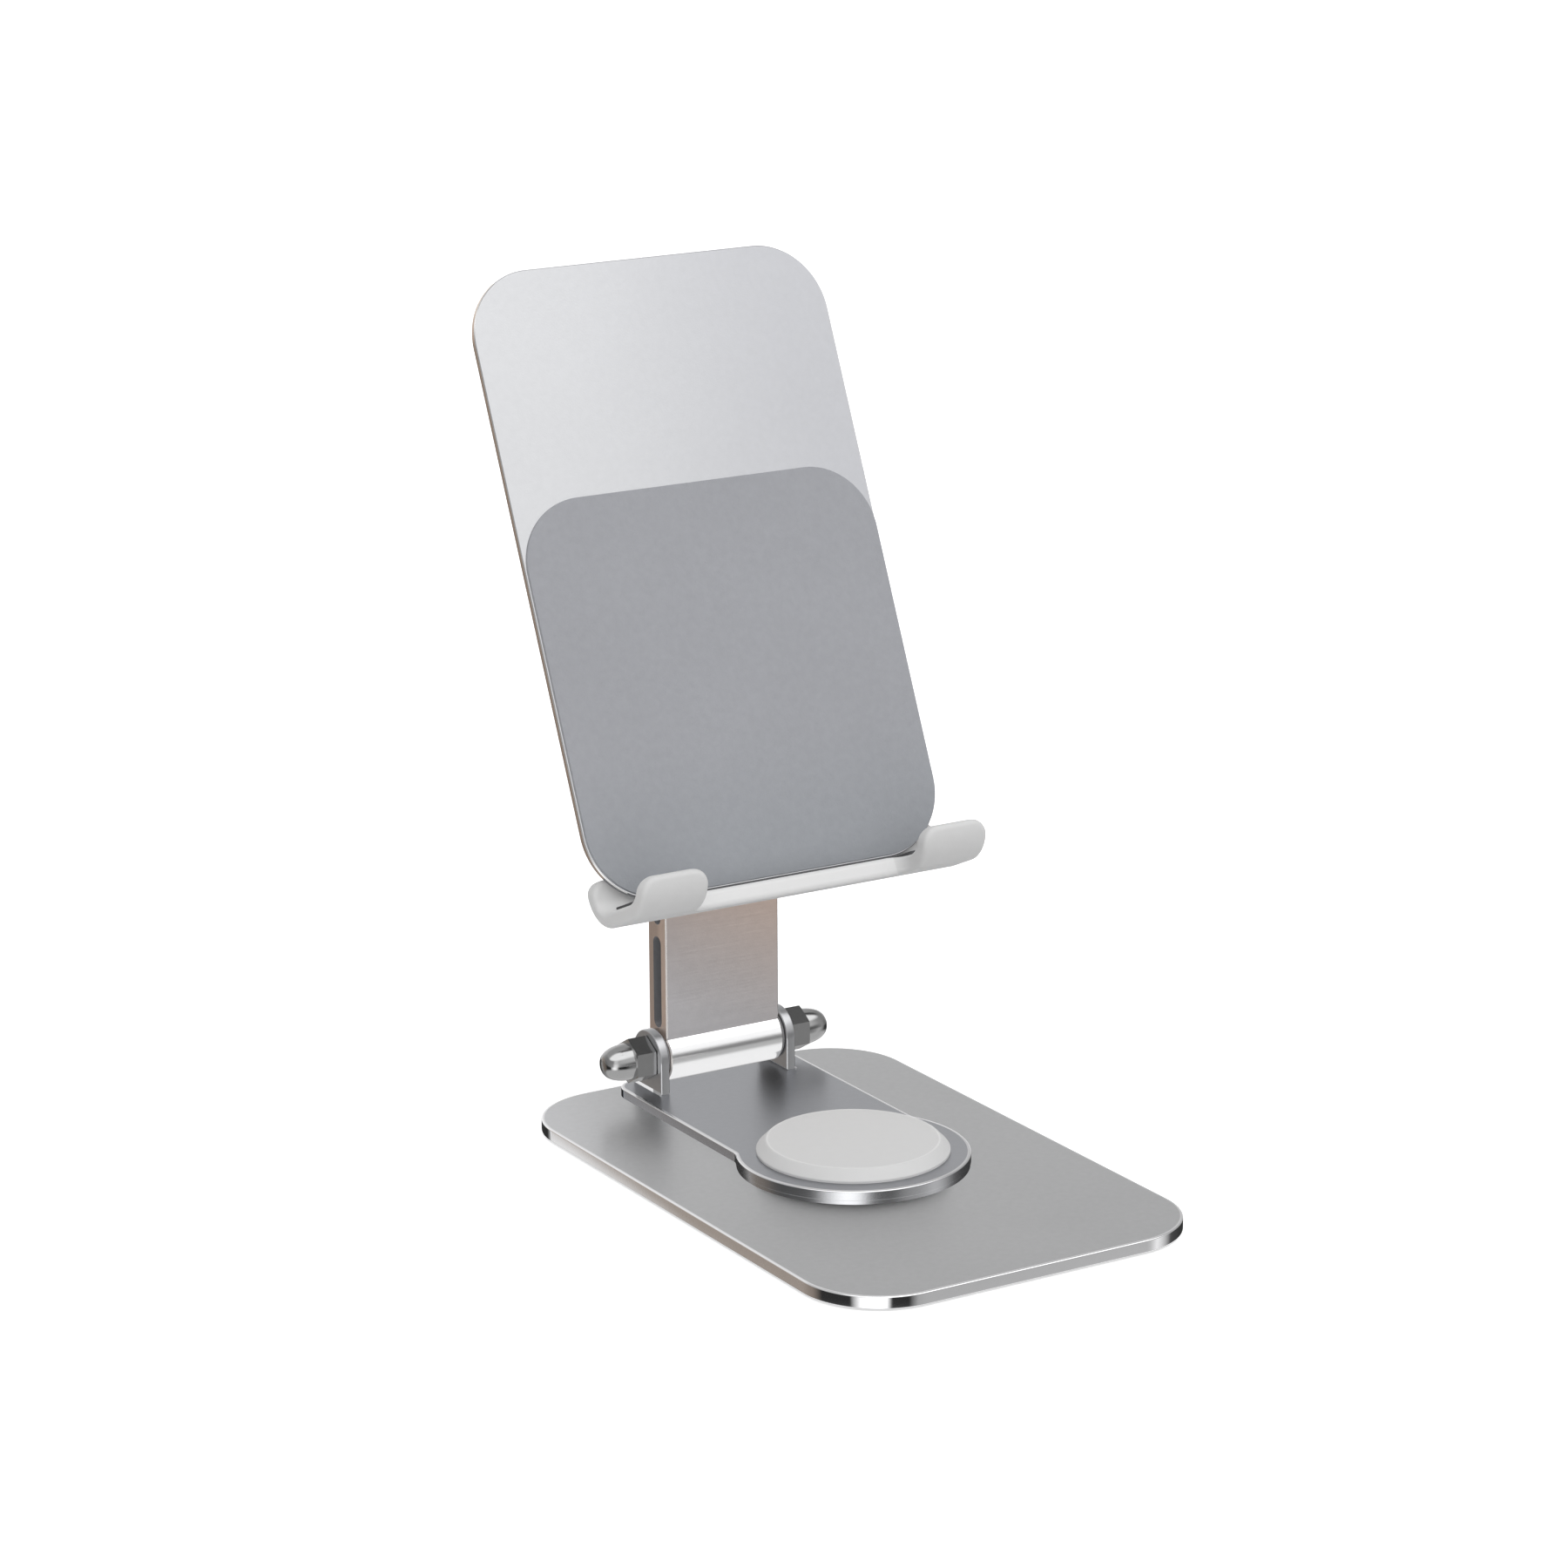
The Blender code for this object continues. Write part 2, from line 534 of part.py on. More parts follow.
def build_rest(finishes, panel):
    back = PLATE_FRONT - PLATE_THICK
    bottom = -PLATE_BELOW_AXIS
    half = PLATE_WIDTH / 2.0
    outline = rounded_rectangle(-half, half, bottom, bottom + PLATE_HEIGHT, PLATE_CORNER)
    plate_bm = slab(outline, back, PLATE_FRONT, PLATE_BACK_EDGE, PLATE_CHAMFER)
    plate = add_body("rest_plate", plate_bm, finishes["silver_sheet"], panel, FACING)
    web_front = back - SEAT
    web_back = web_front - BRACKET_THICK
    screw = (SCREW_RADIUS, SCREW_HEAD_RADIUS, SCREW_HEAD_DEPTH, PLATE_FRONT - SCREW_SUNK, web_back)
    cutters = []
    for x, h in bracket_screw_places():
        hole = countersunk(*screw, grow=RUN)
        cutters.append(add_body("screw_hole", moved(hole, x, h), frame=FACING))
    for side in (-1, 1):
        hole = rod(CRADLE_SCREW_RADIUS + RUN, 0.0, 2.0 * PLATE_FRONT, steps=SCREW_STEPS)
        hole = moved(hole, side * CRADLE_SCREW_X, bottom + CRADLE_SCREW_V)
        cutters.append(add_body("cradle_screw_hole", hole, frame=FACING))
    combine(plate, "DIFFERENCE", cutters)

    margin = PAD_SHEET_MARGIN
    sheet_outline = rounded_rectangle(margin - half, half - margin, bottom + margin,
                                      bottom + margin + PAD_SHEET_HEIGHT, PLATE_CORNER - margin)
    sheet_back = PLATE_FRONT + SEAT
    sheet = slab(sheet_outline, sheet_back, sheet_back + PAD_SHEET_THICK, 0.0, PAD_SHEET_EDGE)
    add_body("rest_pad", sheet, finishes["grey_silicone"], panel, FACING)

    bracket_half = EAR_INNER + EAR_THICK
    web_outline = rounded_rectangle(-bracket_half, bracket_half, -BRACKET_HALF_HEIGHT,
                                    BRACKET_HALF_HEIGHT, BRACKET_CORNER, SMALL_CORNER_STEPS)
    web = slab(web_outline, web_back, web_front)
    bracket = add_body("upper_bracket", web, finishes["polished_steel"], panel, FACING)
    ear = arc((0.0, 0.0), EAR_RADIUS, -90.0, 90.0, HALF_ROUND_STEPS)
    ear_root = BRACKET_THICK / 2.0 - web_front
    ear += [(ear_root, EAR_RADIUS), (ear_root, -EAR_RADIUS)]
    ears = []
    for side in (-1, 1):
        near, far = sorted((side * EAR_INNER, side * (EAR_INNER + EAR_THICK)))
        ears.append(add_body("bracket_ear", slab(ear, near, far), frame=ACROSS))
    combine(bracket, "UNION", ears)
    holes = [add_body("bracket_bore", rod(AXLE_RADIUS + RUN, -AXLE_HALF, AXLE_HALF), frame=ACROSS)]
    for x, h in bracket_screw_places():
        hole = rod(SCREW_RADIUS + RUN, 0.0, PLATE_FRONT, steps=SCREW_STEPS)
        holes.append(add_body("web_hole", moved(hole, x, h), frame=FACING))
    combine(bracket, "DIFFERENCE", holes)
    for index, (x, h) in enumerate(bracket_screw_places(), start=1):
        add_body(f"bracket_screw_{index}", moved(countersunk(*screw), x, h), finishes["dark_nickel"],
                 panel, FACING)


def cradle_runs():
    """Lengths of the strip's wall, heel, floor and hook, measured flat along its middle."""
    heel = (CRADLE_HEEL_INNER + CRADLE_HEEL_OUTER) / 2.0
    wall = CRADLE_WALL_TOP - CRADLE_FLOOR + CRADLE_THICK / 2.0 - heel
    floor = HOOK_BEND_START - CRADLE_WALL + CRADLE_THICK / 2.0 - heel
    hook = (HOOK_BEND_RADIUS + CRADLE_THICK / 2.0) * HOOK_BEND
    return wall, heel * math.pi / 2.0, floor, hook


def cradle_surface(run, share, thick, heel):
    """(depth, height) on the strip's inner or outer skin, at a share of one of its four runs."""
    back = CRADLE_WALL - thick
    floor = CRADLE_FLOOR - thick
    if run == 0:
        return Vector((back, CRADLE_WALL_TOP + (floor + heel - CRADLE_WALL_TOP) * share))
    if run == 1:
        angle = share * math.pi / 2.0
        return Vector((back + heel - heel * math.cos(angle), floor + heel - heel * math.sin(angle)))
    if run == 2:
        return Vector((back + heel + (HOOK_BEND_START - back - heel) * share, floor))
    angle = share * HOOK_BEND
    radius = HOOK_BEND_RADIUS + thick
    return Vector((HOOK_BEND_START + radius * math.sin(angle), floor + radius - radius * math.cos(angle)))


def cradle_outline(runs):
    """The strip laid flat: a wide back with two tabs, the length along v from the wall's top."""
    wall, heel, floor, hook = runs
    tip = wall + heel + floor + hook
    end = wall + heel
    middle_heel = CRADLE_WALL - CRADLE_THICK / 2.0 + (CRADLE_HEEL_INNER + CRADLE_HEEL_OUTER) / 2.0
    middle = end + CRADLE_MIDDLE_FRONT - middle_heel
    right = [
        (CRADLE_HALF, 0.0, CRADLE_WALL_CORNER),
        (CRADLE_HALF, end, CRADLE_END_CORNER),
        (HOOK_OUTER, tip, HOOK_CORNER),
        (HOOK_INNER, tip, HOOK_CORNER),
        (HOOK_INNER, middle, HOOK_FILLET),
    ]
    left = [(-x, length, radius) for x, length, radius in reversed(right)]
    return rounded_polygon(right + left, SMALL_CORNER_STEPS)


def bent_cradle():
    """Round the flat strip's rims, crease it across the bends and fold it to shape."""
    runs = cradle_runs()
    ends = [sum(runs[:index]) for index in range(len(runs) + 1)]
    half = CRADLE_THICK / 2.0
    bm = slab(cradle_outline(runs), -half, half, CRADLE_EDGE, CRADLE_EDGE, CRADLE_EDGE_STEPS)
    for run in (1, 3):
        for step in range(BEND_STEPS):
            crease = ends[run] + runs[run] * step / BEND_STEPS
            bmesh.ops.bisect_plane(bm, geom=bm.verts[:] + bm.edges[:] + bm.faces[:],
                                   plane_co=(0.0, crease, 0.0), plane_no=(0.0, 1.0, 0.0))
    floor_start = (0.0, ends[2], 0.0)
    bmesh.ops.bisect_plane(bm, geom=bm.verts[:] + bm.edges[:] + bm.faces[:], plane_co=floor_start,
                           plane_no=(0.0, 1.0, 0.0))
    for vert in bm.verts:
        run = max(index for index in range(len(runs)) if index == 0 or vert.co.y >= ends[index])
        share = (vert.co.y - ends[run]) / runs[run]
        inner = cradle_surface(run, share, 0.0, CRADLE_HEEL_INNER)
        outer = cradle_surface(run, share, CRADLE_THICK, CRADLE_HEEL_OUTER)
        depth, height = inner.lerp(outer, vert.co.z / CRADLE_THICK + 0.5)
        vert.co = (vert.co.x, -depth, height)
    bmesh.ops.triangulate(bm, faces=bm.faces)
    return bm


def build_cradle(finishes, panel):
    datum = add_empty("cradle_datum", panel, (0.0, -PLATE_FRONT, -PLATE_BELOW_AXIS))
    cradle = add_body("cradle", bent_cradle(), finishes["white_silicone"], datum)
    head = CRADLE_WALL - CRADLE_THICK + CRADLE_SCREW_SUNK
    screw = (CRADLE_SCREW_RADIUS, CRADLE_SCREW_HEAD_RADIUS, CRADLE_SCREW_HEAD_DEPTH, head, -SCREW_SUNK)
    holes = []
    for side in (-1, 1):
        hole = countersunk(*screw, grow=RUN)
        for vert in hole.verts:
            if vert.co.z < head - RUN / 2.0:
                vert.co.z = head - CRADLE_THICK
        hole = moved(hole, side * CRADLE_SCREW_X, CRADLE_SCREW_V)
        holes.append(add_body("screw_hole", hole, frame=FACING))
    combine(cradle, "DIFFERENCE", holes)
    for side, word in ((-1, "left"), (1, "right")):
        screw_bm = moved(countersunk(*screw), side * CRADLE_SCREW_X, CRADLE_SCREW_V)
        add_body(f"cradle_screw_{word}", screw_bm, finishes["dark_nickel"], datum, FACING)

    strip_inner = HOOK_INNER + CRADLE_EDGE
    strip_front = HOOK_BEND_START - RUN
    middle_front = CRADLE_MIDDLE_FRONT - STRIP_LIP
    strip_outline = rounded_polygon((
        (-STRIP_HALF, -STRIP_BACK, STRIP_CORNER),
        (-STRIP_HALF, -strip_front, STRIP_CORNER),
        (-strip_inner, -strip_front, STRIP_CORNER),
        (-strip_inner, -middle_front, STRIP_CORNER),
        (strip_inner, -middle_front, STRIP_CORNER),
        (strip_inner, -strip_front, STRIP_CORNER),
        (STRIP_HALF, -strip_front, STRIP_CORNER),
        (STRIP_HALF, -STRIP_BACK, STRIP_CORNER),
    ), SMALL_CORNER_STEPS)
    strip_bottom = CRADLE_FLOOR + SEAT
    add_body("cradle_strip", slab(strip_outline, strip_bottom, strip_bottom + STRIP_THICK),
             finishes["dark_silicone"], datum)


def main():
    clear_scene()
    finishes = make_finishes()
    build_base(finishes)
    swivel = add_empty("swivel_pivot")
    build_swivel(finishes, swivel)
    lower_hinge = add_empty("lower_hinge_axis", swivel, LOWER_AXIS)
    build_ears(finishes, lower_hinge)
    nut_mesh = acorn_nut_mesh()
    nut_mesh.materials.append(finishes["dark_nickel"])
    build_hinge_hardware("lower", finishes, lower_hinge, nut_mesh)
    arm_pivot = add_empty("arm_pivot", lower_hinge)
    build_arm(finishes, arm_pivot)
    upper_hinge = add_empty("upper_hinge_axis", arm_pivot, (0.0, 0.0, ARM_LENGTH))
    build_hinge_hardware("upper", finishes, upper_hinge, nut_mesh)
    panel = add_empty("rest_pivot", upper_hinge, tilt=-LEAN)
    build_rest(finishes, panel)
    build_cradle(finishes, panel)
    for obj in bpy.data.objects:
        if obj.type == "MESH":
            shade_round(obj)
    bpy.context.view_layer.update()


main()
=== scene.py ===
# %% [markdown]
# # A folding phone stand
# The stand is a flat steel base, a plate that turns on it, a hinged arm and a leaning rest with a soft cradle. The
# imported model gives the exact frame: every piece below is drawn in metres in that frame, so it lands where the
# working part is. First the frame is loaded.

# %% Load the frame
import math

import bmesh
import bpy
from mathutils import Matrix, Quaternion, Vector


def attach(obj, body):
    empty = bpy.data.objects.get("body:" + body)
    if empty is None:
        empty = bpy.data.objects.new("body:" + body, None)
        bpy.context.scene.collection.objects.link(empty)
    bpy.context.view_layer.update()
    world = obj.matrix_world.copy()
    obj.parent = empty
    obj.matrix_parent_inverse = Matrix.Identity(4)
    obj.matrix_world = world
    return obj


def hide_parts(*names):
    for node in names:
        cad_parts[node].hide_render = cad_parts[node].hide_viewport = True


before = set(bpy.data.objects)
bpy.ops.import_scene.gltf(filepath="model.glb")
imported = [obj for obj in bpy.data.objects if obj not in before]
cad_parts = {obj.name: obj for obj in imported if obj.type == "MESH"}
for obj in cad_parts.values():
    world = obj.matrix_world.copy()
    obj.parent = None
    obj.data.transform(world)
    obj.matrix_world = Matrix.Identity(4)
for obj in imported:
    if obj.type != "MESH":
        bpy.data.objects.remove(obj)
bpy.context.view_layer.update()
scene = bpy.context.scene
MM = 0.001
print("nodes in the frame:", len(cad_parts))

# %% [markdown]
# ## The camera
# The picture was taken from the front left and a little above, with a long lens. A
# camera needs a place, a direction and a lens: the direction comes from two angles, and
# a small roll levels the horizon as it is in the picture.

# %% Place the camera
CAMERA_PLACE = Vector((-0.47347, -0.75631, 0.33095))
CAMERA_AZIMUTH = math.radians(-31.22)
CAMERA_ELEVATION = math.radians(15.81)
CAMERA_ROLL = math.radians(-0.28)
PICTURE_WIDTH = 1800.0
FOCAL_PIXELS = 5689.3

towards_camera = Vector((
    math.sin(CAMERA_AZIMUTH) * math.cos(CAMERA_ELEVATION),
    -math.cos(CAMERA_AZIMUTH) * math.cos(CAMERA_ELEVATION),
    math.sin(CAMERA_ELEVATION),
))
camera = bpy.data.objects.new("camera", bpy.data.cameras.new("camera"))
camera.rotation_mode = "QUATERNION"
level = (-towards_camera).to_track_quat("-Z", "Y")
camera.rotation_quaternion = level @ Quaternion((0.0, 0.0, 1.0), CAMERA_ROLL)
camera.location = CAMERA_PLACE
camera.data.sensor_width = 36.0
camera.data.lens = camera.data.sensor_width * FOCAL_PIXELS / PICTURE_WIDTH
scene.collection.objects.link(camera)
scene.camera = camera
scene.view_settings.view_transform = "Standard"
print("lens:", round(camera.data.lens, 1), "mm")

# %% [markdown]
# ## Nodes by name
# Materials and the surround are small networks of nodes. Writing them by hand needs
# many repeated lines, so two helpers do the work: one adds a node and fills or links
# its inputs, the other chains a sum from left to right.


# %% Helpers for node networks
def put(tree, kind, inputs=None, **options):
    """Add one node, set its options, and fill or link its inputs by name or number."""
    node = tree.nodes.new("ShaderNode" + kind)
    for name, value in options.items():
        setattr(node, name, value)
    for name, value in (inputs or {}).items():
        if isinstance(value, bpy.types.NodeSocket):
            tree.links.new(value, node.inputs[name])
        else:
            node.inputs[name].default_value = value
    return node


def sum_of(tree, operation, first, second=0.0):
    """One step of arithmetic on sockets or numbers."""
    return put(tree, "Math", {0: first, 1: second}, operation=operation).outputs[0]


def ramp(tree, value, low, high, low_out=0.0, high_out=1.0):
    """Blend smoothly from one level to another while a value goes from low to high."""
    inputs = {"Value": value, "From Min": low, "From Max": high, "To Min": low_out, "To Max": high_out}
    return put(tree, "MapRange", inputs, interpolation_type="SMOOTHSTEP").outputs["Result"]


# %% [markdown]
# ## The studio round the stand
# Polished metal shows the room it stands in, so the surround is what makes it look
# real. Here it is drawn from the view direction alone. Low down, white panels and dark
# gaps follow each other round the set, with one warm wall at the back left. Above them
# is a plain bright wall, then a soft box overhead at the front and a ceiling behind it
# that is dim on the right. The camera itself sees plain white.

# %% Draw the surround
LOW_WALL = (
    (0, 0.06), (20, 0.04), (106, 0.03), (113, 0.3), (117.5, 0.95), (118.5, 0.9), (119.3, (0.36, 0.31, 0.27)),
    (142, (0.25, 0.21, 0.18)), (158, 0.03), (200, 0.03), (216, 1.4), (228, 2.4), (243, 2.2), (255, 0.03),
    (278, 0.03), (291, 0.42), (303, 0.46), (312, 0.55), (324, 0.95), (337, 0.60), (352, 0.08),
)
HORIZON = (
    (0, 0.30), (28, 0.60), (44, 1.35), (78, 1.35), (100, 1.0), (121, (0.62, 0.54, 0.47)), (150, 0.30), (200, 0.50),
    (222, 0.7), (232, 1.8), (246, 1.8), (258, 0.7), (288, 0.25), (300, 0.20), (314, 0.24), (335, 0.60),
)
MIDDLE_WALL = ((0, 0.45), (38, 0.48), (57, 0.68), (76, 1.0), (110, 0.95), (126, 0.6), (150, 0.42),
               (224, 0.48), (234, 1.3), (246, 1.3), (256, 0.9), (285, 1.0), (308, 1.0), (328, 0.60))
SOFT_BOX_LEVEL = 2.05
CEILING_LEVEL = 0.12
REAR_CEILING = 0.65
FLOOR_LEVEL = 0.90
FLOOR_BEHIND = 0.42


def round_wall(tree, turn, stops):
    """A band of light round the set: (degrees, level or colour) stops on a colour ramp."""
    band = put(tree, "ValToRGB", {"Fac": turn})
    marks = band.color_ramp.elements
    while len(marks) < len(stops) + 1:
        marks.new(0.5)
    for mark, (degrees, light) in zip(marks, (*stops, (360, stops[0][1]))):
        mark.position = degrees / 360.0
        mark.color = (*light, 1.0) if isinstance(light, tuple) else (light, light, light, 1.0)
    return band.outputs["Color"]


def mix_colour(tree, share, first, second):
    """Blend two colours or colour sockets by a share from 0 to 1."""
    return put(tree, "Mix", {0: share, 6: first, 7: second}, data_type="RGBA").outputs[2]


world = bpy.data.worlds.new("studio")
world.use_nodes = True
scene.world = world
air = world.node_tree
air.nodes.clear()
ray = put(air, "TexCoord").outputs["Generated"]
across, along, up = put(air, "SeparateXYZ", {0: ray}).outputs
turn = sum_of(air, "DIVIDE", sum_of(air, "ARCTAN2", along, across), 2.0 * math.pi)
turn = sum_of(air, "FRACT", sum_of(air, "ADD", turn, 1.0))
dark_corner = ramp(air, along, 0.26, 0.38, CEILING_LEVEL, REAR_CEILING)
ceiling = ramp(air, across, 0.30, 0.44, REAR_CEILING, dark_corner)
overhead = ramp(air, along, -0.12, 0.12, SOFT_BOX_LEVEL, ceiling)
upper = mix_colour(air, ramp(air, up, 0.52, 0.70), round_wall(air, turn, MIDDLE_WALL), overhead)
upper = mix_colour(air, ramp(air, up, 0.02, 0.30), round_wall(air, turn, HORIZON), upper)
room = mix_colour(air, ramp(air, up, -0.20, -0.10), round_wall(air, turn, LOW_WALL), upper)
ground = ramp(air, along, 0.42, 0.75, FLOOR_LEVEL, FLOOR_BEHIND)
room = mix_colour(air, ramp(air, up, -0.38, -0.56), room, ground)
surround = put(air, "Background", {"Color": room, "Strength": 1.0})
backdrop = put(air, "Background", {"Color": (1.0, 1.0, 1.0, 1.0), "Strength": 1.0})
seen = put(air, "LightPath").outputs["Is Camera Ray"]
choice = put(air, "MixShader", {0: seen, 1: surround.outputs[0], 2: backdrop.outputs[0]})
put(air, "OutputWorld", {"Surface": choice.outputs[0]})
print("surround made of", len(air.nodes), "nodes")

# %% [markdown]
# ## Floor and lamp
# A white sweep under the object would normally need strong light to look white. The floor is lit softly instead, and
# glows a little for the camera only, so it reaches white while the shadow round the base stays. One wide lamp models
# the forms.

# %% Lay the floor and hang the lamp
FLOOR_HALF = 6.0
FLOOR_GLOW = 0.42
FLOOR_DROP = 0.05 * MM
floor_bm = bmesh.new()
bmesh.ops.create_grid(floor_bm, x_segments=1, y_segments=1, size=FLOOR_HALF)
bmesh.ops.translate(floor_bm, vec=(0.0, 0.0, -FLOOR_DROP), verts=floor_bm.verts)
floor_mesh = bpy.data.meshes.new("floor")
floor_bm.to_mesh(floor_mesh)
floor_bm.free()
floor = bpy.data.objects.new("floor", floor_mesh)
scene.collection.objects.link(floor)
floor.visible_glossy = False
paint = bpy.data.materials.new("floor_paint")
paint.use_nodes = True
coat = paint.node_tree
coat.nodes.clear()
matt = put(coat, "BsdfDiffuse", {"Color": (0.88, 0.88, 0.88, 1.0)})
camera_only = put(coat, "LightPath").outputs["Is Camera Ray"]
glow = put(coat, "Emission", {"Strength": sum_of(coat, "MULTIPLY", camera_only, FLOOR_GLOW)})
lit = put(coat, "AddShader", {0: matt.outputs[0], 1: glow.outputs[0]})
put(coat, "OutputMaterial", {"Surface": lit.outputs[0]})
floor_mesh.materials.append(paint)


def hang_lamp(name, place, target, size, power):
    """A square soft box that the camera can't see, aimed at a point."""
    lamp = bpy.data.objects.new(name, bpy.data.lights.new(name, "AREA"))
    lamp.data.size = size
    lamp.data.energy = power
    lamp.location = place
    lamp.rotation_euler = (Vector(target) - Vector(place)).to_track_quat("-Z", "Y").to_euler()
    lamp.visible_camera = False
    lamp.visible_glossy = False
    scene.collection.objects.link(lamp)
    return lamp


hang_lamp("key_lamp", (0.35, -0.50, 1.05), (0.0, 0.0, 0.05), 0.60, 0.3)

# %% [markdown]
# ## Grain, drift and drawn lines
# Real finishes are never one flat number. Blasted metal has a grain of a few tenths of
# a millimetre and a slow drift from place to place, drawn and turned metal has fine
# lines in one direction. Each effect is one node group that several finishes share.
# The groups only put out values, so each finish decides what they do.


# %% Node groups for the surface effects
def new_group(name, inputs, outputs):
    """An empty shader group with float inputs (name: start value) and float outputs."""
    group = bpy.data.node_groups.new(name, "ShaderNodeTree")
    for socket, start in inputs.items():
        made = group.interface.new_socket(socket, in_out="INPUT", socket_type="NodeSocketFloat")
        made.default_value = start
    for socket in outputs:
        group.interface.new_socket(socket, in_out="OUTPUT", socket_type="NodeSocketFloat")
    entry = group.nodes.new("NodeGroupInput")
    leave = group.nodes.new("NodeGroupOutput")
    return group, entry.outputs, leave.inputs


def add_grain_group():
    """Fine blasted grain and a slow drift, both round zero."""
    group, given, result = new_group("blasted_grain", {"Grain Scale": 2600.0, "Drift Scale": 38.0},
                                     ("Height", "Drift", "Fleck"))
    place = put(group, "TexCoord").outputs["Object"]
    fine = put(group, "TexNoise", {"Vector": place, "Scale": given["Grain Scale"], "Detail": 2.0})
    slow = put(group, "TexNoise", {"Vector": place, "Scale": given["Drift Scale"], "Detail": 3.0})
    mid_scale = sum_of(group, "MULTIPLY", given["Grain Scale"], 0.28)
    fleck = put(group, "TexNoise", {"Vector": place, "Scale": mid_scale, "Detail": 1.0})
    group.links.new(sum_of(group, "SUBTRACT", fine.outputs[0], 0.5), result["Height"])
    group.links.new(sum_of(group, "SUBTRACT", slow.outputs[0], 0.5), result["Drift"])
    group.links.new(sum_of(group, "SUBTRACT", fleck.outputs[0], 0.5), result["Fleck"])
    return group


def add_lines_group():
    """Fine lines drawn along X: noise that is squeezed in the other two directions."""
    group, given, result = new_group("drawn_lines", {"Line Scale": 3200.0, "Length": 0.03},
                                     ("Height", "Streak"))
    place = put(group, "TexCoord").outputs["Object"]
    squeeze = put(group, "CombineXYZ", {0: given["Length"], 1: 1.0, 2: 1.0}).outputs[0]
    stretched = put(group, "VectorMath", {0: place, 1: squeeze}, operation="MULTIPLY").outputs[0]
    lines = put(group, "TexNoise", {"Vector": stretched, "Scale": given["Line Scale"], "Detail": 2.0})
    wide_scale = sum_of(group, "MULTIPLY", given["Line Scale"], 0.12)
    wide = put(group, "TexNoise", {"Vector": stretched, "Scale": wide_scale, "Detail": 2.0})
    group.links.new(sum_of(group, "SUBTRACT", lines.outputs[0], 0.5), result["Height"])
    group.links.new(sum_of(group, "SUBTRACT", wide.outputs[0], 0.5), result["Streak"])
    return group


grain_group = add_grain_group()
lines_group = add_lines_group()
print("groups:", grain_group.name, lines_group.name)

# %% [markdown]
# ## One way to make a finish
# Every finish here is a Principled shader whose colour and roughness move a little with
# drift and fleck, and whose normal carries the grain. One function builds them all from
# a short list of numbers, so the finishes stay comparable and easy to tune.


# %% The finish maker
def make_finish(name, colour, roughness, metal, tone=0.06, rough_drift=0.08, grain=2600.0, depth=0.04,
                drift=38.0, second=None, lines=None, coat=0.0):
    """A finish with its own grain. Second is (colour, start, end, axis): a ramp to a second colour along an axis, which
    paints light, shade or a reflection into the finish.
    """
    material = bpy.data.materials.new(name)
    material.use_nodes = True
    tree = material.node_tree
    shader = tree.nodes["Principled BSDF"]
    shader.inputs["Metallic"].default_value = metal
    shader.inputs["Coat Weight"].default_value = coat
    effect = tree.nodes.new("ShaderNodeGroup")
    effect.node_tree = grain_group
    effect.inputs["Grain Scale"].default_value = grain
    effect.inputs["Drift Scale"].default_value = drift
    height = effect.outputs["Height"]
    shade = sum_of(tree, "ADD", effect.outputs["Drift"], effect.outputs["Fleck"])
    if lines:
        drawn = tree.nodes.new("ShaderNodeGroup")
        drawn.node_tree = lines_group
        drawn.inputs["Line Scale"].default_value = lines
        height = sum_of(tree, "ADD", height, drawn.outputs["Height"])
        shade = sum_of(tree, "ADD", shade, drawn.outputs["Streak"])
    base = colour
    if second:
        other, start, end, axis = second
        place = put(tree, "TexCoord").outputs["Object"]
        value = put(tree, "VectorMath", {0: place, 1: axis}, operation="DOT_PRODUCT").outputs["Value"]
        base = mix_colour(tree, ramp(tree, value, start, end), (*colour, 1.0), (*other, 1.0))
    level = sum_of(tree, "ADD", sum_of(tree, "MULTIPLY", shade, tone), 1.0)
    tinted = put(tree, "VectorMath", {0: base, 1: level}, operation="MULTIPLY")
    tree.links.new(tinted.outputs[0], shader.inputs["Base Color"])
    rough = sum_of(tree, "ADD", sum_of(tree, "MULTIPLY", effect.outputs["Drift"], rough_drift), roughness)
    tree.links.new(rough, shader.inputs["Roughness"])
    bump = put(tree, "Bump", {"Height": height, "Strength": depth, "Distance": 0.0002})
    tree.links.new(bump.outputs["Normal"], shader.inputs["Normal"])
    return material


# %% [markdown]
# ## The finishes of this stand
# Satin grey steel on the two plates, bright cut edges, dark polished nuts, a silver sheet for the rest, anodised
# aluminium for the arm, whose warm tone is painted reflection, and four silicones. A metal's colour is how much of the
# room it gives back, so grey steel is a mid grey and not dark.

# %% Make the finishes
# The base's second colour is painted light: the plate turns lighter towards the rear left corner.
satin_steel = make_finish("satin_steel", (0.51, 0.512, 0.518), 0.34, 1.0, tone=0.10, depth=0.10,
                          second=((0.65, 0.652, 0.665), 0.03, 0.058, (-0.9, 0.35, 0.0)))
satin_swivel = make_finish("satin_swivel", (0.37, 0.377, 0.40), 0.31, 1.0, tone=0.08, depth=0.08)
swivel_cut = make_finish("swivel_cut", (0.52, 0.525, 0.54), 0.26, 1.0, tone=0.04, depth=0.02)
# The tongue's cut sides: a darker, bluer copy of the disc's cut sides, as a painted reflection.
tongue_side_painted_reflection = make_finish("tongue_side_painted_reflection", (0.42, 0.45, 0.50), 0.12, 1.0, tone=0.04, depth=0.02)
rim_steel = make_finish("rim_steel", (0.74, 0.74, 0.75), 0.10, 1.0, tone=0.04, depth=0.02)
cut_steel = make_finish("cut_steel", (0.86, 0.86, 0.87), 0.07, 1.0, tone=0.04, depth=0.004, lines=2600.0)
ear_steel = make_finish("ear_steel", (0.445, 0.449, 0.46), 0.33, 1.0, tone=0.06, depth=0.04)
dark_nickel = make_finish("dark_nickel", (0.38, 0.38, 0.38), 0.15, 1.0, tone=0.08, depth=0.02)
bright_barrel = make_finish("bright_barrel", (0.96, 0.96, 0.965), 0.17, 1.0, tone=0.03, depth=0.02, lines=3000.0)
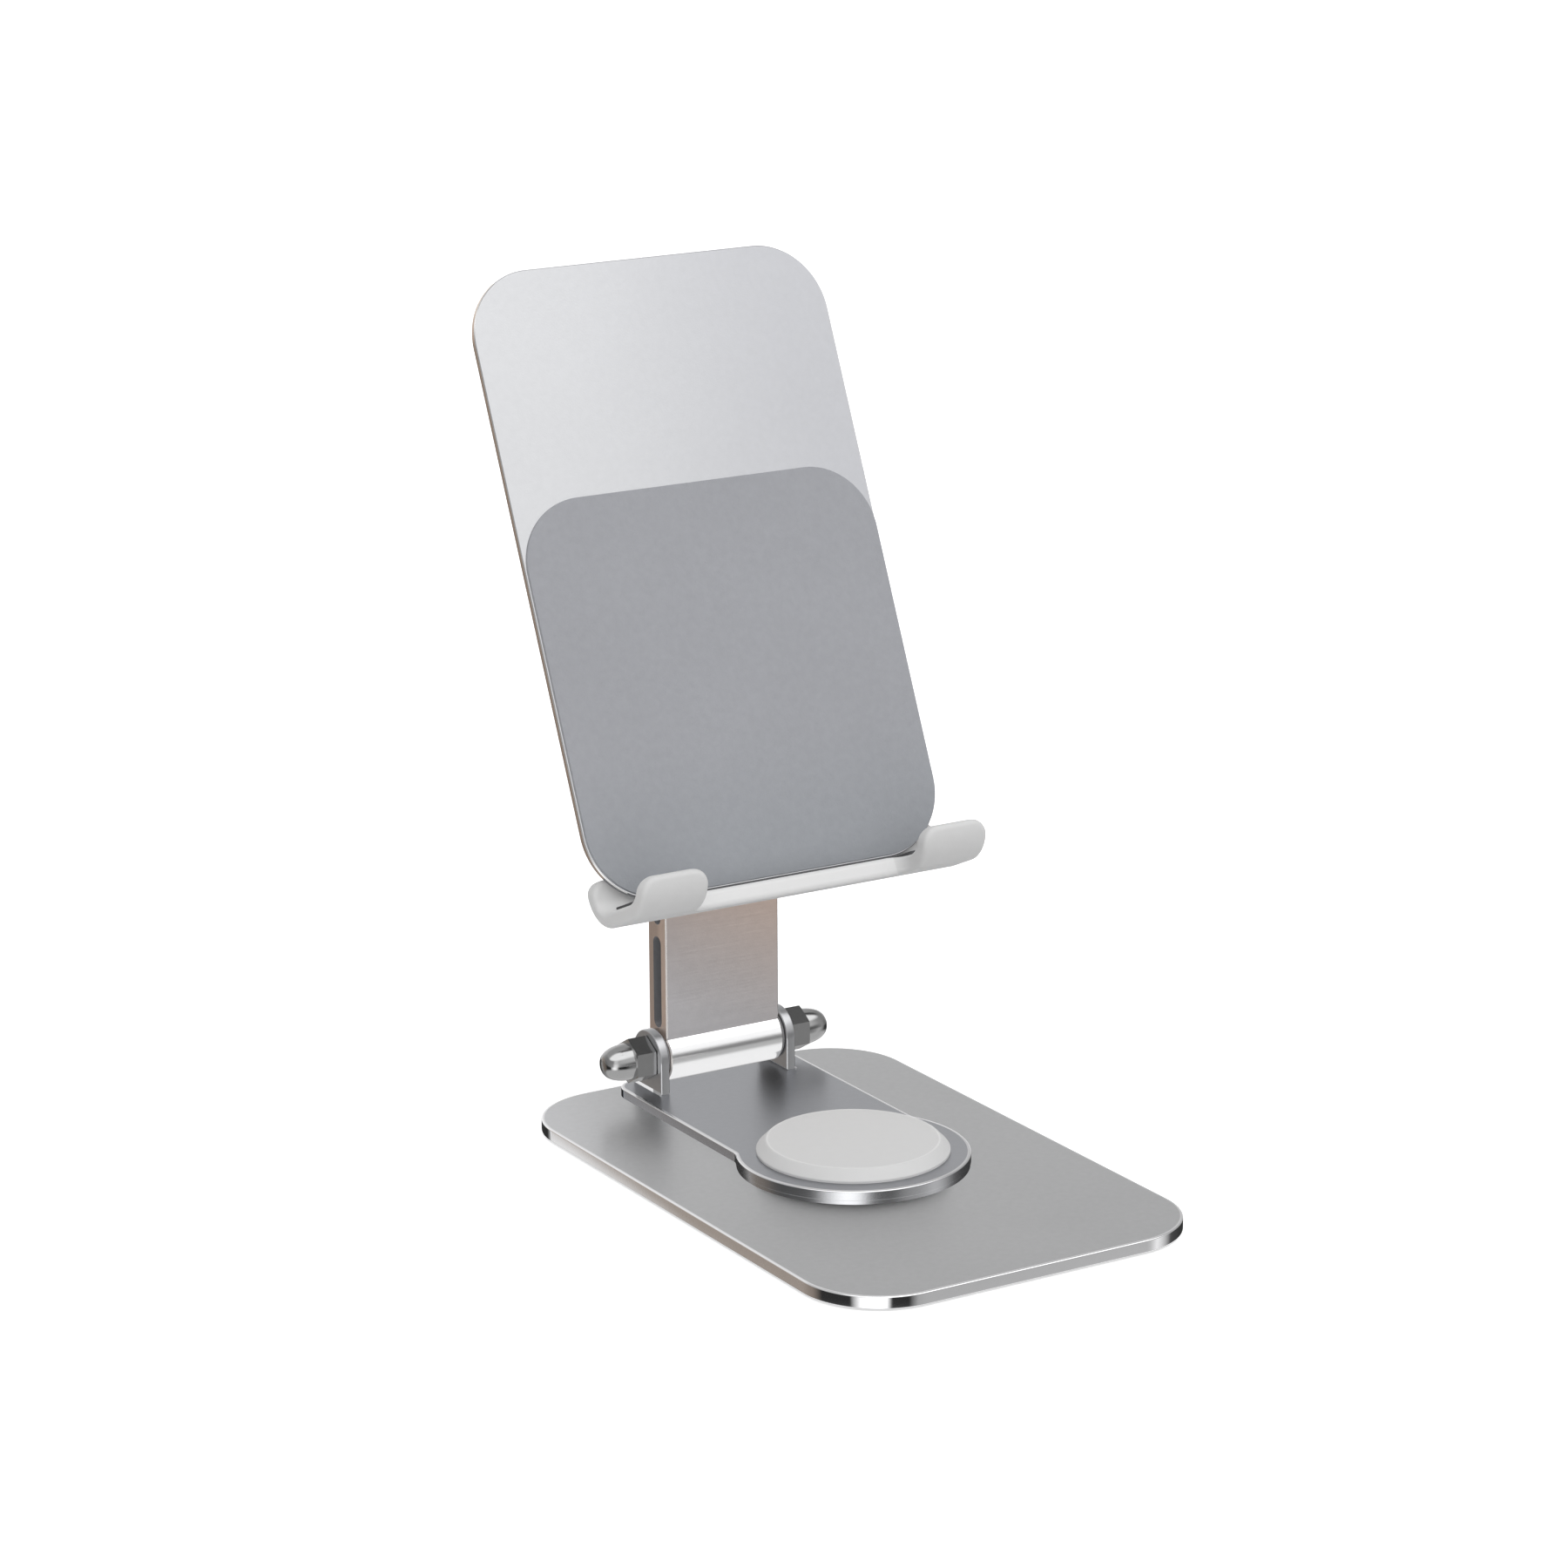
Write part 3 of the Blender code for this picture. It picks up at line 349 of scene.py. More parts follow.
# The web's second colour is a painted warm reflection towards the upper right.
arm_face = make_finish("arm_face", (0.68, 0.665, 0.68), 0.34, 1.0, tone=0.10, depth=0.10,
                       second=((0.95, 0.70, 0.56), 0.012, 0.062, (0.45, 0.0, 0.9)), lines=2400.0)
# The sawn ends' warm brown, lighter towards the front, is a painted reflection.
arm_side = make_finish("arm_side", (0.66, 0.545, 0.48), 0.36, 1.0, tone=0.10, depth=0.08,
                       second=((0.86, 0.71, 0.62), 0.0525, 0.0505, (0.0, 1.0, 0.0)))
arm_edge = make_finish("arm_edge", (0.70, 0.67, 0.65), 0.24, 1.0, tone=0.04, depth=0.02)
# Near-black painted shade for the arm's chambers and the sheet's lower edge in the cradle, where shade falls.
painted_shade_dark = make_finish("painted_shade_dark", (0.17, 0.17, 0.178), 0.55, 0.0, tone=0.20, depth=0.10)
# The sheet's second colour is a painted reflection: it darkens from left to right.
silver_sheet = make_finish("silver_sheet", (0.655, 0.66, 0.675), 0.38, 1.0, tone=0.06, rough_drift=0.03, depth=0.08, grain=2600.0,
                           second=((0.555, 0.56, 0.585), -0.035, 0.04, (1.0, 0.0, 0.0)))
silver_edge = make_finish("silver_edge", (0.60, 0.595, 0.59), 0.26, 1.0, tone=0.03, depth=0.03)
# The rim's brown is a painted warm reflection.
sheet_side = make_finish("sheet_side", (0.54, 0.44, 0.37), 0.26, 1.0, tone=0.08, depth=0.03)
# The pad's second colour is painted shade: it darkens towards the lower end.
grey_silicone = make_finish("grey_silicone", (0.292, 0.297, 0.318), 0.72, 0.0, tone=0.11, depth=0.28, grain=2400.0,
                            second=((0.27, 0.283, 0.304), 0.085, 0.05, (0.0, 0.0, 1.0)))
white_silicone = make_finish("white_silicone", (0.57, 0.57, 0.57), 0.58, 0.0, tone=0.03, depth=0.05, grain=1800.0)
# A lighter copy of the white silicone: painted highlight on the ring round the pad's top and on the rail's front.
painted_highlight_silicone = make_finish("painted_highlight_silicone", (0.63, 0.63, 0.63), 0.45, 0.0, tone=0.02, depth=0.03, grain=1800.0)
# Dark silicone of the foot sheet; on the cradle liner its near-black also stands in for shade in the channel.
dark_silicone = make_finish("dark_silicone", (0.07, 0.071, 0.075), 0.70, 0.0, tone=0.20, depth=0.15)
dark_nylon = make_finish("dark_nylon", (0.25, 0.25, 0.255), 0.45, 0.0, tone=0.15, depth=0.05)
pale_nylon = make_finish("pale_nylon", (0.42, 0.42, 0.41), 0.45, 0.0, tone=0.08, depth=0.05)
plain_steel = make_finish("plain_steel", (0.72, 0.72, 0.73), 0.20, 1.0, tone=0.08, depth=0.05, lines=2600.0)
print("finishes:", len(bpy.data.materials))

# %% [markdown]
# ## Sheets, rims and pieces
# Most of the stand is cut from plate: an outline, a thickness and a worked rim. A sheet
# is one face with its corners rounded by a vertex bevel, it is raised by an extrusion,
# and the rim takes an edge bevel, flat for a chamfer and stepped for a soft edge. At the
# end each mesh becomes an object that rides on a body and stands for its CAD node.

# %% Helpers for plate work
NEAR = 1e-7
CREASE = math.radians(28.0)


def round_sheet(width, depth, corner, steps=20):
    """A flat sheet with round corners, centred on the origin."""
    sheet = bmesh.new()
    bmesh.ops.create_grid(sheet, x_segments=1, y_segments=1, size=0.5)
    bmesh.ops.scale(sheet, vec=(width, depth, 1.0), verts=sheet.verts)
    bmesh.ops.bevel(sheet, geom=sheet.verts, offset=corner, affect="VERTICES", segments=steps, profile=0.5,
                    material=-1)
    return sheet


def raise_sheet(sheet, low, high):
    """Give a flat outline its thickness, from one height to another."""
    bmesh.ops.translate(sheet, vec=(0.0, 0.0, low), verts=sheet.verts)
    grown = bmesh.ops.extrude_face_region(sheet, geom=sheet.faces[:])
    lifted = [item for item in grown["geom"] if isinstance(item, bmesh.types.BMVert)]
    bmesh.ops.translate(sheet, vec=(0.0, 0.0, high - low), verts=lifted)
    bmesh.ops.recalc_face_normals(sheet, faces=sheet.faces)
    return sheet


def work_rim(plate, height, size, steps=1):
    """Bevel every sharp edge that lies at one height."""
    rim = [edge for edge in plate.edges if all(abs(vert.co.z - height) < NEAR for vert in edge.verts)]
    bmesh.ops.bevel(plate, geom=rim, offset=size, affect="EDGES", segments=steps, profile=0.5, material=-1)
    return plate


def crown_border(plate, width, rise):
    """Step the top face in by a narrow border that slopes up to it."""
    top = [max(plate.faces, key=lambda face: face.calc_area() * (face.normal.z > 0.9))]
    bmesh.ops.inset_region(plate, faces=top, thickness=width, depth=rise)
    return plate


def set_finish(shape, choose):
    """Give each face the finish number that a rule of its centre and normal chooses."""
    for face in shape.faces:
        face.material_index = choose(face.calc_center_median(), face.normal)
    return shape


def top_or_cut(centre, normal):
    """Blasted faces keep finish 0, the bright border takes finish 1 and the cut side finish 2."""
    if abs(normal.z) > 0.9985:
        return 0
    return 1 if normal.z > 0.3 else 2


def add_piece(name, shape, finishes, body, slot, *nodes, place=Matrix.Identity(4)):
    """Turn a bmesh into a finished piece that stands for CAD nodes and rides on a body."""
    bmesh.ops.transform(shape, matrix=place, verts=shape.verts)
    bmesh.ops.remove_doubles(shape, verts=shape.verts, dist=NEAR)
    bmesh.ops.recalc_face_normals(shape, faces=shape.faces)
    mesh = bpy.data.meshes.new(name)
    shape.to_mesh(mesh)
    shape.free()
    for finish in finishes:
        mesh.materials.append(finish)
    mesh.shade_smooth()
    mesh.set_sharp_from_angle(angle=CREASE)
    piece = bpy.data.objects.new(name, mesh)
    scene.collection.objects.link(piece)
    flat = piece.modifiers.new("flat_faces", "WEIGHTED_NORMAL")
    flat.keep_sharp = True
    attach(piece, body)
    if nodes:
        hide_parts(*nodes)
    print(name, "faces:", len(mesh.polygons))
    return piece


# %% [markdown]
# ## Base plate and foot sheet
# The base is a 2.3 mm steel plate with round corners and a wide bright chamfer, cut
# after blasting so it shines. Below, a shallow recess holds a dark silicone sheet that
# stands half a millimetre proud. The recess is an inset of the underside, pushed up.

# %% Base plate
BORDER_RISE = 0.035 * MM
base_rim = 2.84 * MM - BORDER_RISE
base = raise_sheet(round_sheet(80.0 * MM, 126.0 * MM, 16.0 * MM, 32), 0.5 * MM, base_rim)
under = [face for face in base.faces if face.normal.z < -0.9]
bmesh.ops.inset_region(base, faces=under, thickness=4.0 * MM)
pushed = bmesh.ops.extrude_face_region(base, geom=under)
pushed_verts = [item for item in pushed["geom"] if isinstance(item, bmesh.types.BMVert)]
bmesh.ops.translate(base, vec=(0.0, 0.0, 0.7 * MM), verts=pushed_verts)
bmesh.ops.delete(base, geom=[face for face in under if face.is_valid], context="FACES_ONLY")
work_rim(base, base_rim, 0.25 * MM, 4)
crown_border(base, 0.32 * MM, BORDER_RISE)
outer = [edge for edge in base.edges if edge.calc_face_angle(0.0) > 1.0
         and all(abs(vert.co.z - 0.5 * MM) < NEAR for vert in edge.verts)
         and any(face.normal.z > -0.5 and face.normal.xy.dot(edge.verts[0].co.xy) > 0 for face in edge.link_faces)]
bmesh.ops.bevel(base, geom=outer, offset=0.1 * MM, affect="EDGES", segments=2, profile=0.5, material=-1)
set_finish(base, top_or_cut)
add_piece("base_plate_body", base, (satin_steel, cut_steel, cut_steel), "base", "satin_steel", "base_plate")

# %% Foot sheet
foot = raise_sheet(round_sheet(71.5 * MM, 117.5 * MM, 11.75 * MM), 0.0, 1.1 * MM)
work_rim(foot, 0.0, 0.25 * MM, 3)
add_piece("foot_sheet", foot, (dark_silicone,), "base", "dark_silicone", "foot_pad")

# %% [markdown]
# ## A pen for outlines
# The turning plate, the ears and the arm have outlines of straight runs and arcs. A pen
# draws them in the flat: a run is an edge to a new vertex, and an arc is the last vertex
# spun about a centre. The closed loop becomes one face, ready to be raised.


# %% The pen
class Pen:
    """Draws a closed outline in a bmesh with straight runs and spun arcs."""

    def __init__(self, u, v):
        self.sheet = bmesh.new()
        self.tip = self.sheet.verts.new((u, v, 0.0))

    def run(self, u, v):
        corner = self.sheet.verts.new((u, v, 0.0))
        self.sheet.edges.new((self.tip, corner))
        self.tip = corner
        return self

    def arc(self, centre, degrees, steps):
        spun = bmesh.ops.spin(self.sheet, geom=[self.tip], cent=(*centre, 0.0), axis=(0.0, 0.0, 1.0),
                              angle=math.radians(degrees), steps=steps)
        self.tip = next(item for item in spun["geom_last"] if isinstance(item, bmesh.types.BMVert))
        return self

    def close(self, start):
        self.run(*start)
        bmesh.ops.remove_doubles(self.sheet, verts=self.sheet.verts, dist=NEAR)
        bmesh.ops.contextual_create(self.sheet, geom=self.sheet.edges[:])
        return self.sheet


# %% [markdown]
# ## Turning plate and round pad
# A disc carries the round pad and a tongue reaches back to the hinge. Two small fillets
# join them, as a milling cutter leaves them. The pad on the disc is a silicone button:
# a short profile of flat top, sloping bevel and thin rim, spun once round.

# %% Turning plate
DISC = 22.55 * MM
TONGUE = 20.0 * MM
TONGUE_END = 58.0 * MM
TONGUE_CORNER = 4.5 * MM
NECK = 3.0 * MM
neck_v = math.sqrt((DISC + NECK) ** 2 - (TONGUE + NECK) ** 2)
neck_turn = math.degrees(math.atan2(neck_v, TONGUE + NECK))
neck_start = (-TONGUE, neck_v)
pen = Pen(*neck_start)
pen.arc((-TONGUE - NECK, neck_v), -neck_turn, 12)
pen.arc((0.0, 0.0), 180.0 + 2.0 * neck_turn, 112)
pen.arc((TONGUE + NECK, neck_v), -neck_turn, 12)
pen.run(TONGUE, TONGUE_END - TONGUE_CORNER)
pen.arc((TONGUE - TONGUE_CORNER, TONGUE_END - TONGUE_CORNER), 90.0, 16)
pen.run(TONGUE_CORNER - TONGUE, TONGUE_END)
pen.arc((TONGUE_CORNER - TONGUE, TONGUE_END - TONGUE_CORNER), 90.0, 16)
swivel_rim = 5.54 * MM - BORDER_RISE
swivel = raise_sheet(pen.close(neck_start), 3.64 * MM, swivel_rim)
work_rim(swivel, swivel_rim, 0.25 * MM, 4)
work_rim(swivel, 3.64 * MM, 0.06 * MM)
crown_border(swivel, 0.42 * MM, BORDER_RISE)


def swivel_finish(centre, normal):
    """As top_or_cut, with finish 3, a darker and bluer painted reflection, on the tongue's cut sides."""
    chosen = top_or_cut(centre, normal)
    return 3 if chosen == 2 and centre.y > neck_v else chosen


set_finish(swivel, swivel_finish)
swivel_finishes = (satin_swivel, rim_steel, swivel_cut, tongue_side_painted_reflection)
add_piece("swivel_plate_body", swivel, swivel_finishes, "swivel", "satin_steel", "swivel_plate")

# %% Slip disc in the gap under the turning plate
slip = bmesh.new()
bmesh.ops.create_circle(slip, cap_ends=True, segments=128, radius=22.4 * MM)
raise_sheet(slip, 2.86 * MM, 3.62 * MM)
set_finish(slip, lambda centre, normal: int(abs(normal.z) < 0.5))
add_piece("slip_disc", slip, (pale_nylon, swivel_cut), "base", "natural_nylon", "pivot_washer")


# %% Round pad
def spin_profile(points, steps):
    """Spin an open (radius, height) profile from the axis once round the vertical."""
    shape = bmesh.new()
    verts = [shape.verts.new((radius, 0.0, height)) for radius, height in points]
    edges = [shape.edges.new(pair) for pair in zip(verts, verts[1:])]
    bmesh.ops.spin(shape, geom=verts + edges, cent=(0.0, 0.0, 0.0), axis=(0.0, 0.0, 1.0),
                   angle=2.0 * math.pi, steps=steps, use_merge=True)
    bmesh.ops.remove_doubles(shape, verts=shape.verts, dist=NEAR)
    bmesh.ops.recalc_face_normals(shape, faces=shape.faces)
    return shape


PAD_PROFILE = ((0.0, 5.56), (18.6, 5.56), (18.6, 6.0), (18.45, 6.25), (16.95, 7.74), (16.82, 7.86),
               (16.66, 7.95), (16.46, 7.98), (16.32, 7.975), (16.15, 7.94), (15.6, 7.92), (0.0, 7.92))
# Radii of the ring on the pad's top that is painted lighter as a highlight.
PAINTED_RING_INNER = 16.38 * MM
PAINTED_RING_OUTER = 16.7 * MM
pad = spin_profile([(radius * MM, height * MM) for radius, height in PAD_PROFILE], 128)
set_finish(pad, lambda centre, normal: int(PAINTED_RING_INNER < centre.xy.length < PAINTED_RING_OUTER and normal.z > 0.3))
add_piece("round_pad", pad, (white_silicone, painted_highlight_silicone), "swivel", "white_silicone", "swivel_pad")

# %% [markdown]
# ## Hinge ears
# Two upright ears with round tops stand on the tongue and hold the axle. Each is cut
# from 2 mm plate with its edges softened, so the rim catches a bright line. A thin bead
# along its outer foot closes the joint with the tongue.

# %% Hinge ears
ACROSS = Matrix(((0, 0, 1, 0), (1, 0, 0, 0), (0, 1, 0, 0), (0, 0, 0, 1)))
LOWER_AXIS = Vector((0.0, 52.1 * MM, 11.9 * MM))
EAR_RADIUS = 5.6 * MM
EAR_FOOT = 5.56 * MM - LOWER_AXIS.z
AT_LOWER_AXIS = Matrix.Translation(LOWER_AXIS) @ ACROSS
BEAD = ((15.4 * MM, 0.0), (15.9 * MM, 0.0), (15.5 * MM, 0.4 * MM), (15.4 * MM, 0.4 * MM))
BEAD_END = EAR_RADIUS - 0.05 * MM
for side, word in ((-1, "left"), (1, "right")):
    pen = Pen(EAR_RADIUS, 0.0).arc((0.0, 0.0), 180.0, 48).run(-EAR_RADIUS, EAR_FOOT).run(EAR_RADIUS, EAR_FOOT)
    near, far = sorted((side * 13.5 * MM, side * 15.5 * MM))
    ear = raise_sheet(pen.close((EAR_RADIUS, 0.0)), near, far)
    work_rim(ear, near, 0.35 * MM, 3)
    work_rim(ear, far, 0.35 * MM, 3)
    bead = bmesh.new()
    corner = [bead.verts.new((BEAD_END, EAR_FOOT + rise, side * out)) for out, rise in BEAD]
    bead.faces.new(corner)
    swept = bmesh.ops.extrude_face_region(bead, geom=bead.faces[:])
    ends_of_bead = [item for item in swept["geom"] if isinstance(item, bmesh.types.BMVert)]
    bmesh.ops.translate(bead, vec=(-2.0 * BEAD_END, 0.0, 0.0), verts=ends_of_bead)
    bmesh.ops.recalc_face_normals(bead, faces=bead.faces)
    add_piece("ear_bead_" + word, bead, (cut_steel,), "swivel", "polished_steel", place=AT_LOWER_AXIS)
    add_piece("ear_" + word, ear, (ear_steel,), "swivel", "polished_steel", "hinge_ear_" + word, place=AT_LOWER_AXIS)

# %% [markdown]
# ## Cutting one solid with another
# Some shapes are easiest as one solid cut by another: the corners of a nut by a cone,
# the arm by its chambers. The Boolean modifier does this on two throw-away objects, and
# the result comes back as a bmesh.


# %% The carving helper
def carve(body, tool, operation):
    """Combine two closed bmeshes with a Boolean and return the result."""
    pair = []
    for shape in (body, tool):
        mesh = bpy.data.meshes.new("blank")
        shape.to_mesh(mesh)
        shape.free()
        pair.append(bpy.data.objects.new("blank", mesh))
        scene.collection.objects.link(pair[-1])
    cut = pair[0].modifiers.new("carve", "BOOLEAN")
    cut.operation = operation
    cut.solver = "EXACT"
    cut.object = pair[1]
    carved = bmesh.new()
    carved.from_object(pair[0], bpy.context.evaluated_depsgraph_get())
    for blank in pair:
        mesh = blank.data
        bpy.data.objects.remove(blank)
        bpy.data.meshes.remove(mesh)
    bmesh.ops.recalc_face_normals(carved, faces=carved.faces)
    return carved


# %% [markdown]
# ## Acorn nuts
# A domed nut closes each end of both axles. The hexagon's corners are turned off by a
# shallow cone, which takes the sharpness off a real nut, and the dome is half an
# ellipse, drawn as a profile and spun.

# %% Acorn nuts
NUT_FLATS = 8.0 * MM
HEX_LENGTH = 4.25 * MM
DOME_RADIUS = 3.7 * MM
DOME_BLUNT = 0.62
NUT_LENGTH = 9.9 * MM
UPPER_AXIS = Vector((0.0, 52.1 * MM, 85.0 * MM))
CONE_RUN = 0.16 * MM


def acorn_nut():
    """One nut, drawn outwards along +Z from its face on the ear."""
    hexagon = bmesh.new()
    bmesh.ops.create_circle(hexagon, cap_ends=True, segments=6, radius=NUT_FLATS / 2.0 / math.cos(math.pi / 6.0))
    bmesh.ops.rotate(hexagon, cent=(0.0, 0.0, 0.0), matrix=Matrix.Rotation(math.pi / 2.0, 3, "Z"), verts=hexagon.verts)
    raise_sheet(hexagon, 0.0, HEX_LENGTH)
    wide = NUT_FLATS * 0.62
    blank = spin_profile(((0.0, 0.0), (NUT_FLATS * 0.54, 0.0), (wide, CONE_RUN), (wide, HEX_LENGTH - CONE_RUN),
                          (NUT_FLATS * 0.54, HEX_LENGTH), (0.0, HEX_LENGTH)), 96)
    nut = carve(hexagon, blank, "INTERSECT")
    profile = [(0.0, HEX_LENGTH / 2.0), (DOME_RADIUS, HEX_LENGTH / 2.0)]
    for step in range(25):
        angle = math.pi / 2.0 * step / 24
        rise = HEX_LENGTH + (NUT_LENGTH - HEX_LENGTH) * math.sin(angle)
        profile.append((DOME_RADIUS * math.cos(angle) ** DOME_BLUNT if step < 24 else 0.0, rise))
    return carve(nut, spin_profile(profile, 64), "UNION")


for level_name, axis, body in (("lower", LOWER_AXIS, "swivel"), ("upper", UPPER_AXIS, "upper_hinge")):
    for side, word in ((-1, "left"), (1, "right")):
        outwards = Matrix.Rotation(side * math.pi / 2.0, 4, "Y")
        seat = Matrix.Translation(axis + Vector((side * 15.62 * MM, 0.0, 0.0)))
        node = f"{level_name}_acorn_nut_{word}"
        add_piece(f"domed_nut_{level_name}_{word}", acorn_nut(), (dark_nickel,), body, "dark_nickel", node,
                  place=seat @ outwards)

# %% [markdown]
# ## Friction washers
# A dark washer sits between each ear and the barrel and shows as a thin dark line.

# %% Friction washers
for level_name, axis, body in (("lower", LOWER_AXIS, "swivel"), ("upper", UPPER_AXIS, "upper_hinge")):
    for side, word in ((-1, "left"), (1, "right")):
        washer = bmesh.new()
        bmesh.ops.create_circle(washer, cap_ends=True, segments=64, radius=4.9 * MM)
        raise_sheet(washer, min(side * 13.0, side * 13.4) * MM, max(side * 13.0, side * 13.4) * MM)
        add_piece(f"thin_washer_{level_name}_{word}", washer, (dark_nylon,), body, "natural_nylon",
                  f"{level_name}_friction_washer_{word}", place=Matrix.Translation(axis) @ ACROSS)

# %% [markdown]
# ## The arm
# The arm is a length of aluminium extrusion: one section with a barrel at each end and three long chambers that lighten
# the web. An extrusion is drawn the same way here, as an outline pushed across the width, and the chambers are cut with
# rounded slots. The barrels are polished and the web is anodised. The warm tone at the top of the web and the warm
# brown of the sawn ends are painted reflection, and the dark chamber walls are painted shade.

# %% Arm
BARREL = 5.3 * MM
WEB_HALF = 3.45 * MM
ARM_LENGTH = 73.1 * MM
ARM_HALF_WIDTH = 12.9 * MM
CHAMBER_HALF = 1.5 * MM
CHAMBER_START = 5.8 * MM
CHAMBER_LENGTH = 18.833 * MM
CHAMBER_PITCH = CHAMBER_LENGTH + 2.5 * MM
neck_rise = math.sqrt(BARREL ** 2 - WEB_HALF ** 2)
sweep = 180.0 + 2.0 * math.degrees(math.acos(WEB_HALF / BARREL))
arm_start = (-WEB_HALF, neck_rise)
pen = Pen(*arm_start).arc((0.0, 0.0), sweep, 88).run(WEB_HALF, ARM_LENGTH - neck_rise)
pen.arc((0.0, ARM_LENGTH), sweep, 88)
arm = raise_sheet(pen.close(arm_start), -ARM_HALF_WIDTH, ARM_HALF_WIDTH)
work_rim(arm, -ARM_HALF_WIDTH, 0.25 * MM)
work_rim(arm, ARM_HALF_WIDTH, 0.25 * MM)
for index in range(3):
    low = CHAMBER_START + index * CHAMBER_PITCH + CHAMBER_HALF
    high = low + CHAMBER_LENGTH - 2.0 * CHAMBER_HALF
    pen = Pen(CHAMBER_HALF, high).arc((0.0, high), 180.0, 24).run(-CHAMBER_HALF, low).arc((0.0, low), 180.0, 24)
    arm = carve(arm, raise_sheet(pen.close((CHAMBER_HALF, high)), -20.0 * MM, 20.0 * MM), "DIFFERENCE")


def arm_finish(centre, normal):
    """0 web, 1 sawn ends with painted warm reflection, 2 bright edges, 3 chambers in painted shade, 4 barrels."""
    if abs(normal.z) > 0.95:
        return 1
    if abs(normal.z) > 0.2:
        return 2
    if abs(centre.x) < CHAMBER_HALF * 1.01 and CHAMBER_START < centre.y < ARM_LENGTH - CHAMBER_START:
        return 3
    return 4 if min(abs(centre.y), abs(centre.y - ARM_LENGTH)) < BARREL * 1.01 else 0


set_finish(arm, arm_finish)
arm_finishes = (arm_face, arm_side, arm_edge, painted_shade_dark, bright_barrel)
add_piece("arm_extrusion", arm, arm_finishes, "arm", "arm_aluminium", "arm", place=AT_LOWER_AXIS)

# %% [markdown]
# ## The rest
# The phone leans on a thin silver sheet with a grey silicone pad over its lower part.
# Both are drawn flat and carried up to the upper hinge, tipped back by 24 degrees. The
# sheet's chamfer is bright, and the pad has a soft edge that casts a fine line.

# %% Rest sheet and pad
LEAN = math.radians(24.0)
FACING = Matrix(((1, 0, 0, 0), (0, 0, -1, 0), (0, 1, 0, 0), (0, 0, 0, 1)))
ON_REST = Matrix.Translation(UPPER_AXIS) @ Matrix.Rotation(-LEAN, 4, "X")
REST_LOW = -38.7 * MM
REST_HEIGHT = 123.7 * MM
REST_DROP = 0.55 * MM
REST_TRIM = 0.08 * MM
PAD_HEIGHT = 77.8 * MM
PAD_MARGIN = 0.35 * MM


def rest_finish(centre, normal):
    """0 blasted faces, 1 bright front chamfer, 2 the rim in painted brown reflection, 3 the lower edge in the cradle in
    painted shade.
    """
    if abs(normal.z) > 0.95:
        return 0
    if normal.y < -0.6:
        return 3
    if normal.y > 0.6 and normal.z > 0.3:
        return 0
    return 1 if normal.z > 0.3 else 2


panel = raise_sheet(round_sheet(79.0 * MM, REST_HEIGHT + REST_DROP - REST_TRIM, 14.0 * MM, 32), 8.03 * MM, 9.33 * MM)
work_rim(panel, 9.33 * MM, 0.18 * MM)
work_rim(panel, 8.03 * MM, 0.25 * MM, 3)
set_finish(panel, rest_finish)
bmesh.ops.translate(panel, vec=(0.0, REST_LOW + (REST_HEIGHT - REST_DROP - REST_TRIM) / 2.0, 0.0), verts=panel.verts)
add_piece("rest_sheet", panel, (silver_sheet, silver_edge, sheet_side, painted_shade_dark), "rest", "silver_sheet", "rest_plate",
          place=ON_REST @ FACING)
grip = raise_sheet(round_sheet(78.3 * MM, PAD_HEIGHT + REST_DROP, 13.65 * MM, 32), 9.35 * MM, 10.1 * MM)
work_rim(grip, 10.1 * MM, 0.15 * MM, 3)
bmesh.ops.translate(grip, vec=(0.0, REST_LOW + PAD_MARGIN + (PAD_HEIGHT - REST_DROP) / 2.0, 0.0), verts=grip.verts)
add_piece("rest_grip", grip, (grey_silicone,), "rest", "grey_silicone", "rest_pad", place=ON_REST @ FACING)

# %% [markdown]
# ## Bracket behind the rest
# A U-shaped bracket carries the rest on the upper axle. Its web lies against the sheet
# and its two ears reach back to the hinge. Four screws come through from the front, so
# only their rounded ends show behind.

# %% Bracket and screw ends
web = raise_sheet(round_sheet(31.0 * MM, 19.0 * MM, 2.5 * MM, 10), 6.33 * MM, 7.83 * MM)
work_rim(web, 6.33 * MM, 0.3 * MM, 3)
bmesh.ops.transform(web, matrix=FACING, verts=web.verts)
bmesh.ops.recalc_face_normals(web, faces=web.faces)
EAR_ROOT = -7.0 * MM
bracket = web
for side in (-1, 1):
    pen = Pen(0.0, -EAR_RADIUS).arc((0.0, 0.0), 180.0, 48).run(EAR_ROOT, EAR_RADIUS).run(EAR_ROOT, -EAR_RADIUS)
    near, far = sorted((side * 13.52 * MM, side * 15.48 * MM))
    wing = raise_sheet(pen.close((0.0, -EAR_RADIUS)), near, far)
    work_rim(wing, near, 0.3 * MM, 3)
    work_rim(wing, far, 0.3 * MM, 3)
    bmesh.ops.transform(wing, matrix=ACROSS, verts=wing.verts)
    bmesh.ops.recalc_face_normals(wing, faces=wing.faces)
    bracket = carve(bracket, wing, "UNION")
add_piece("rest_bracket", bracket, (ear_steel,), "rest", "polished_steel", "upper_bracket", place=ON_REST)
SCREW_END = ((0.0, -0.45), (0.5, -0.43), (0.95, -0.33), (1.2, -0.1), (1.25, 0.1), (1.25, 1.0), (0.0, 1.0))
number = 0
for x in (-9.0, 9.0):
    for h in (-7.2, 7.2):
        number += 1
        tip = spin_profile([(radius * MM, height * MM) for radius, height in SCREW_END], 32)
        spot = ON_REST @ FACING @ Matrix.Translation((x * MM, h * MM, 6.33 * MM))
        add_piece(f"bracket_screw_end_{number}", tip, (dark_nickel,), "rest", "dark_nickel",
                  f"bracket_screw_{number}", place=spot)

# %% [markdown]
# ## The cradle
# The soft cradle is best understood as a thick strip: cut flat with two tabs, its rims
# rounded, then bent up behind the sheet and, at the tabs, up in front of the phone. It
# is made in that order. Cuts across the strip give the bends enough facets, and one
# rule carries every point from the flat to the bent shape.

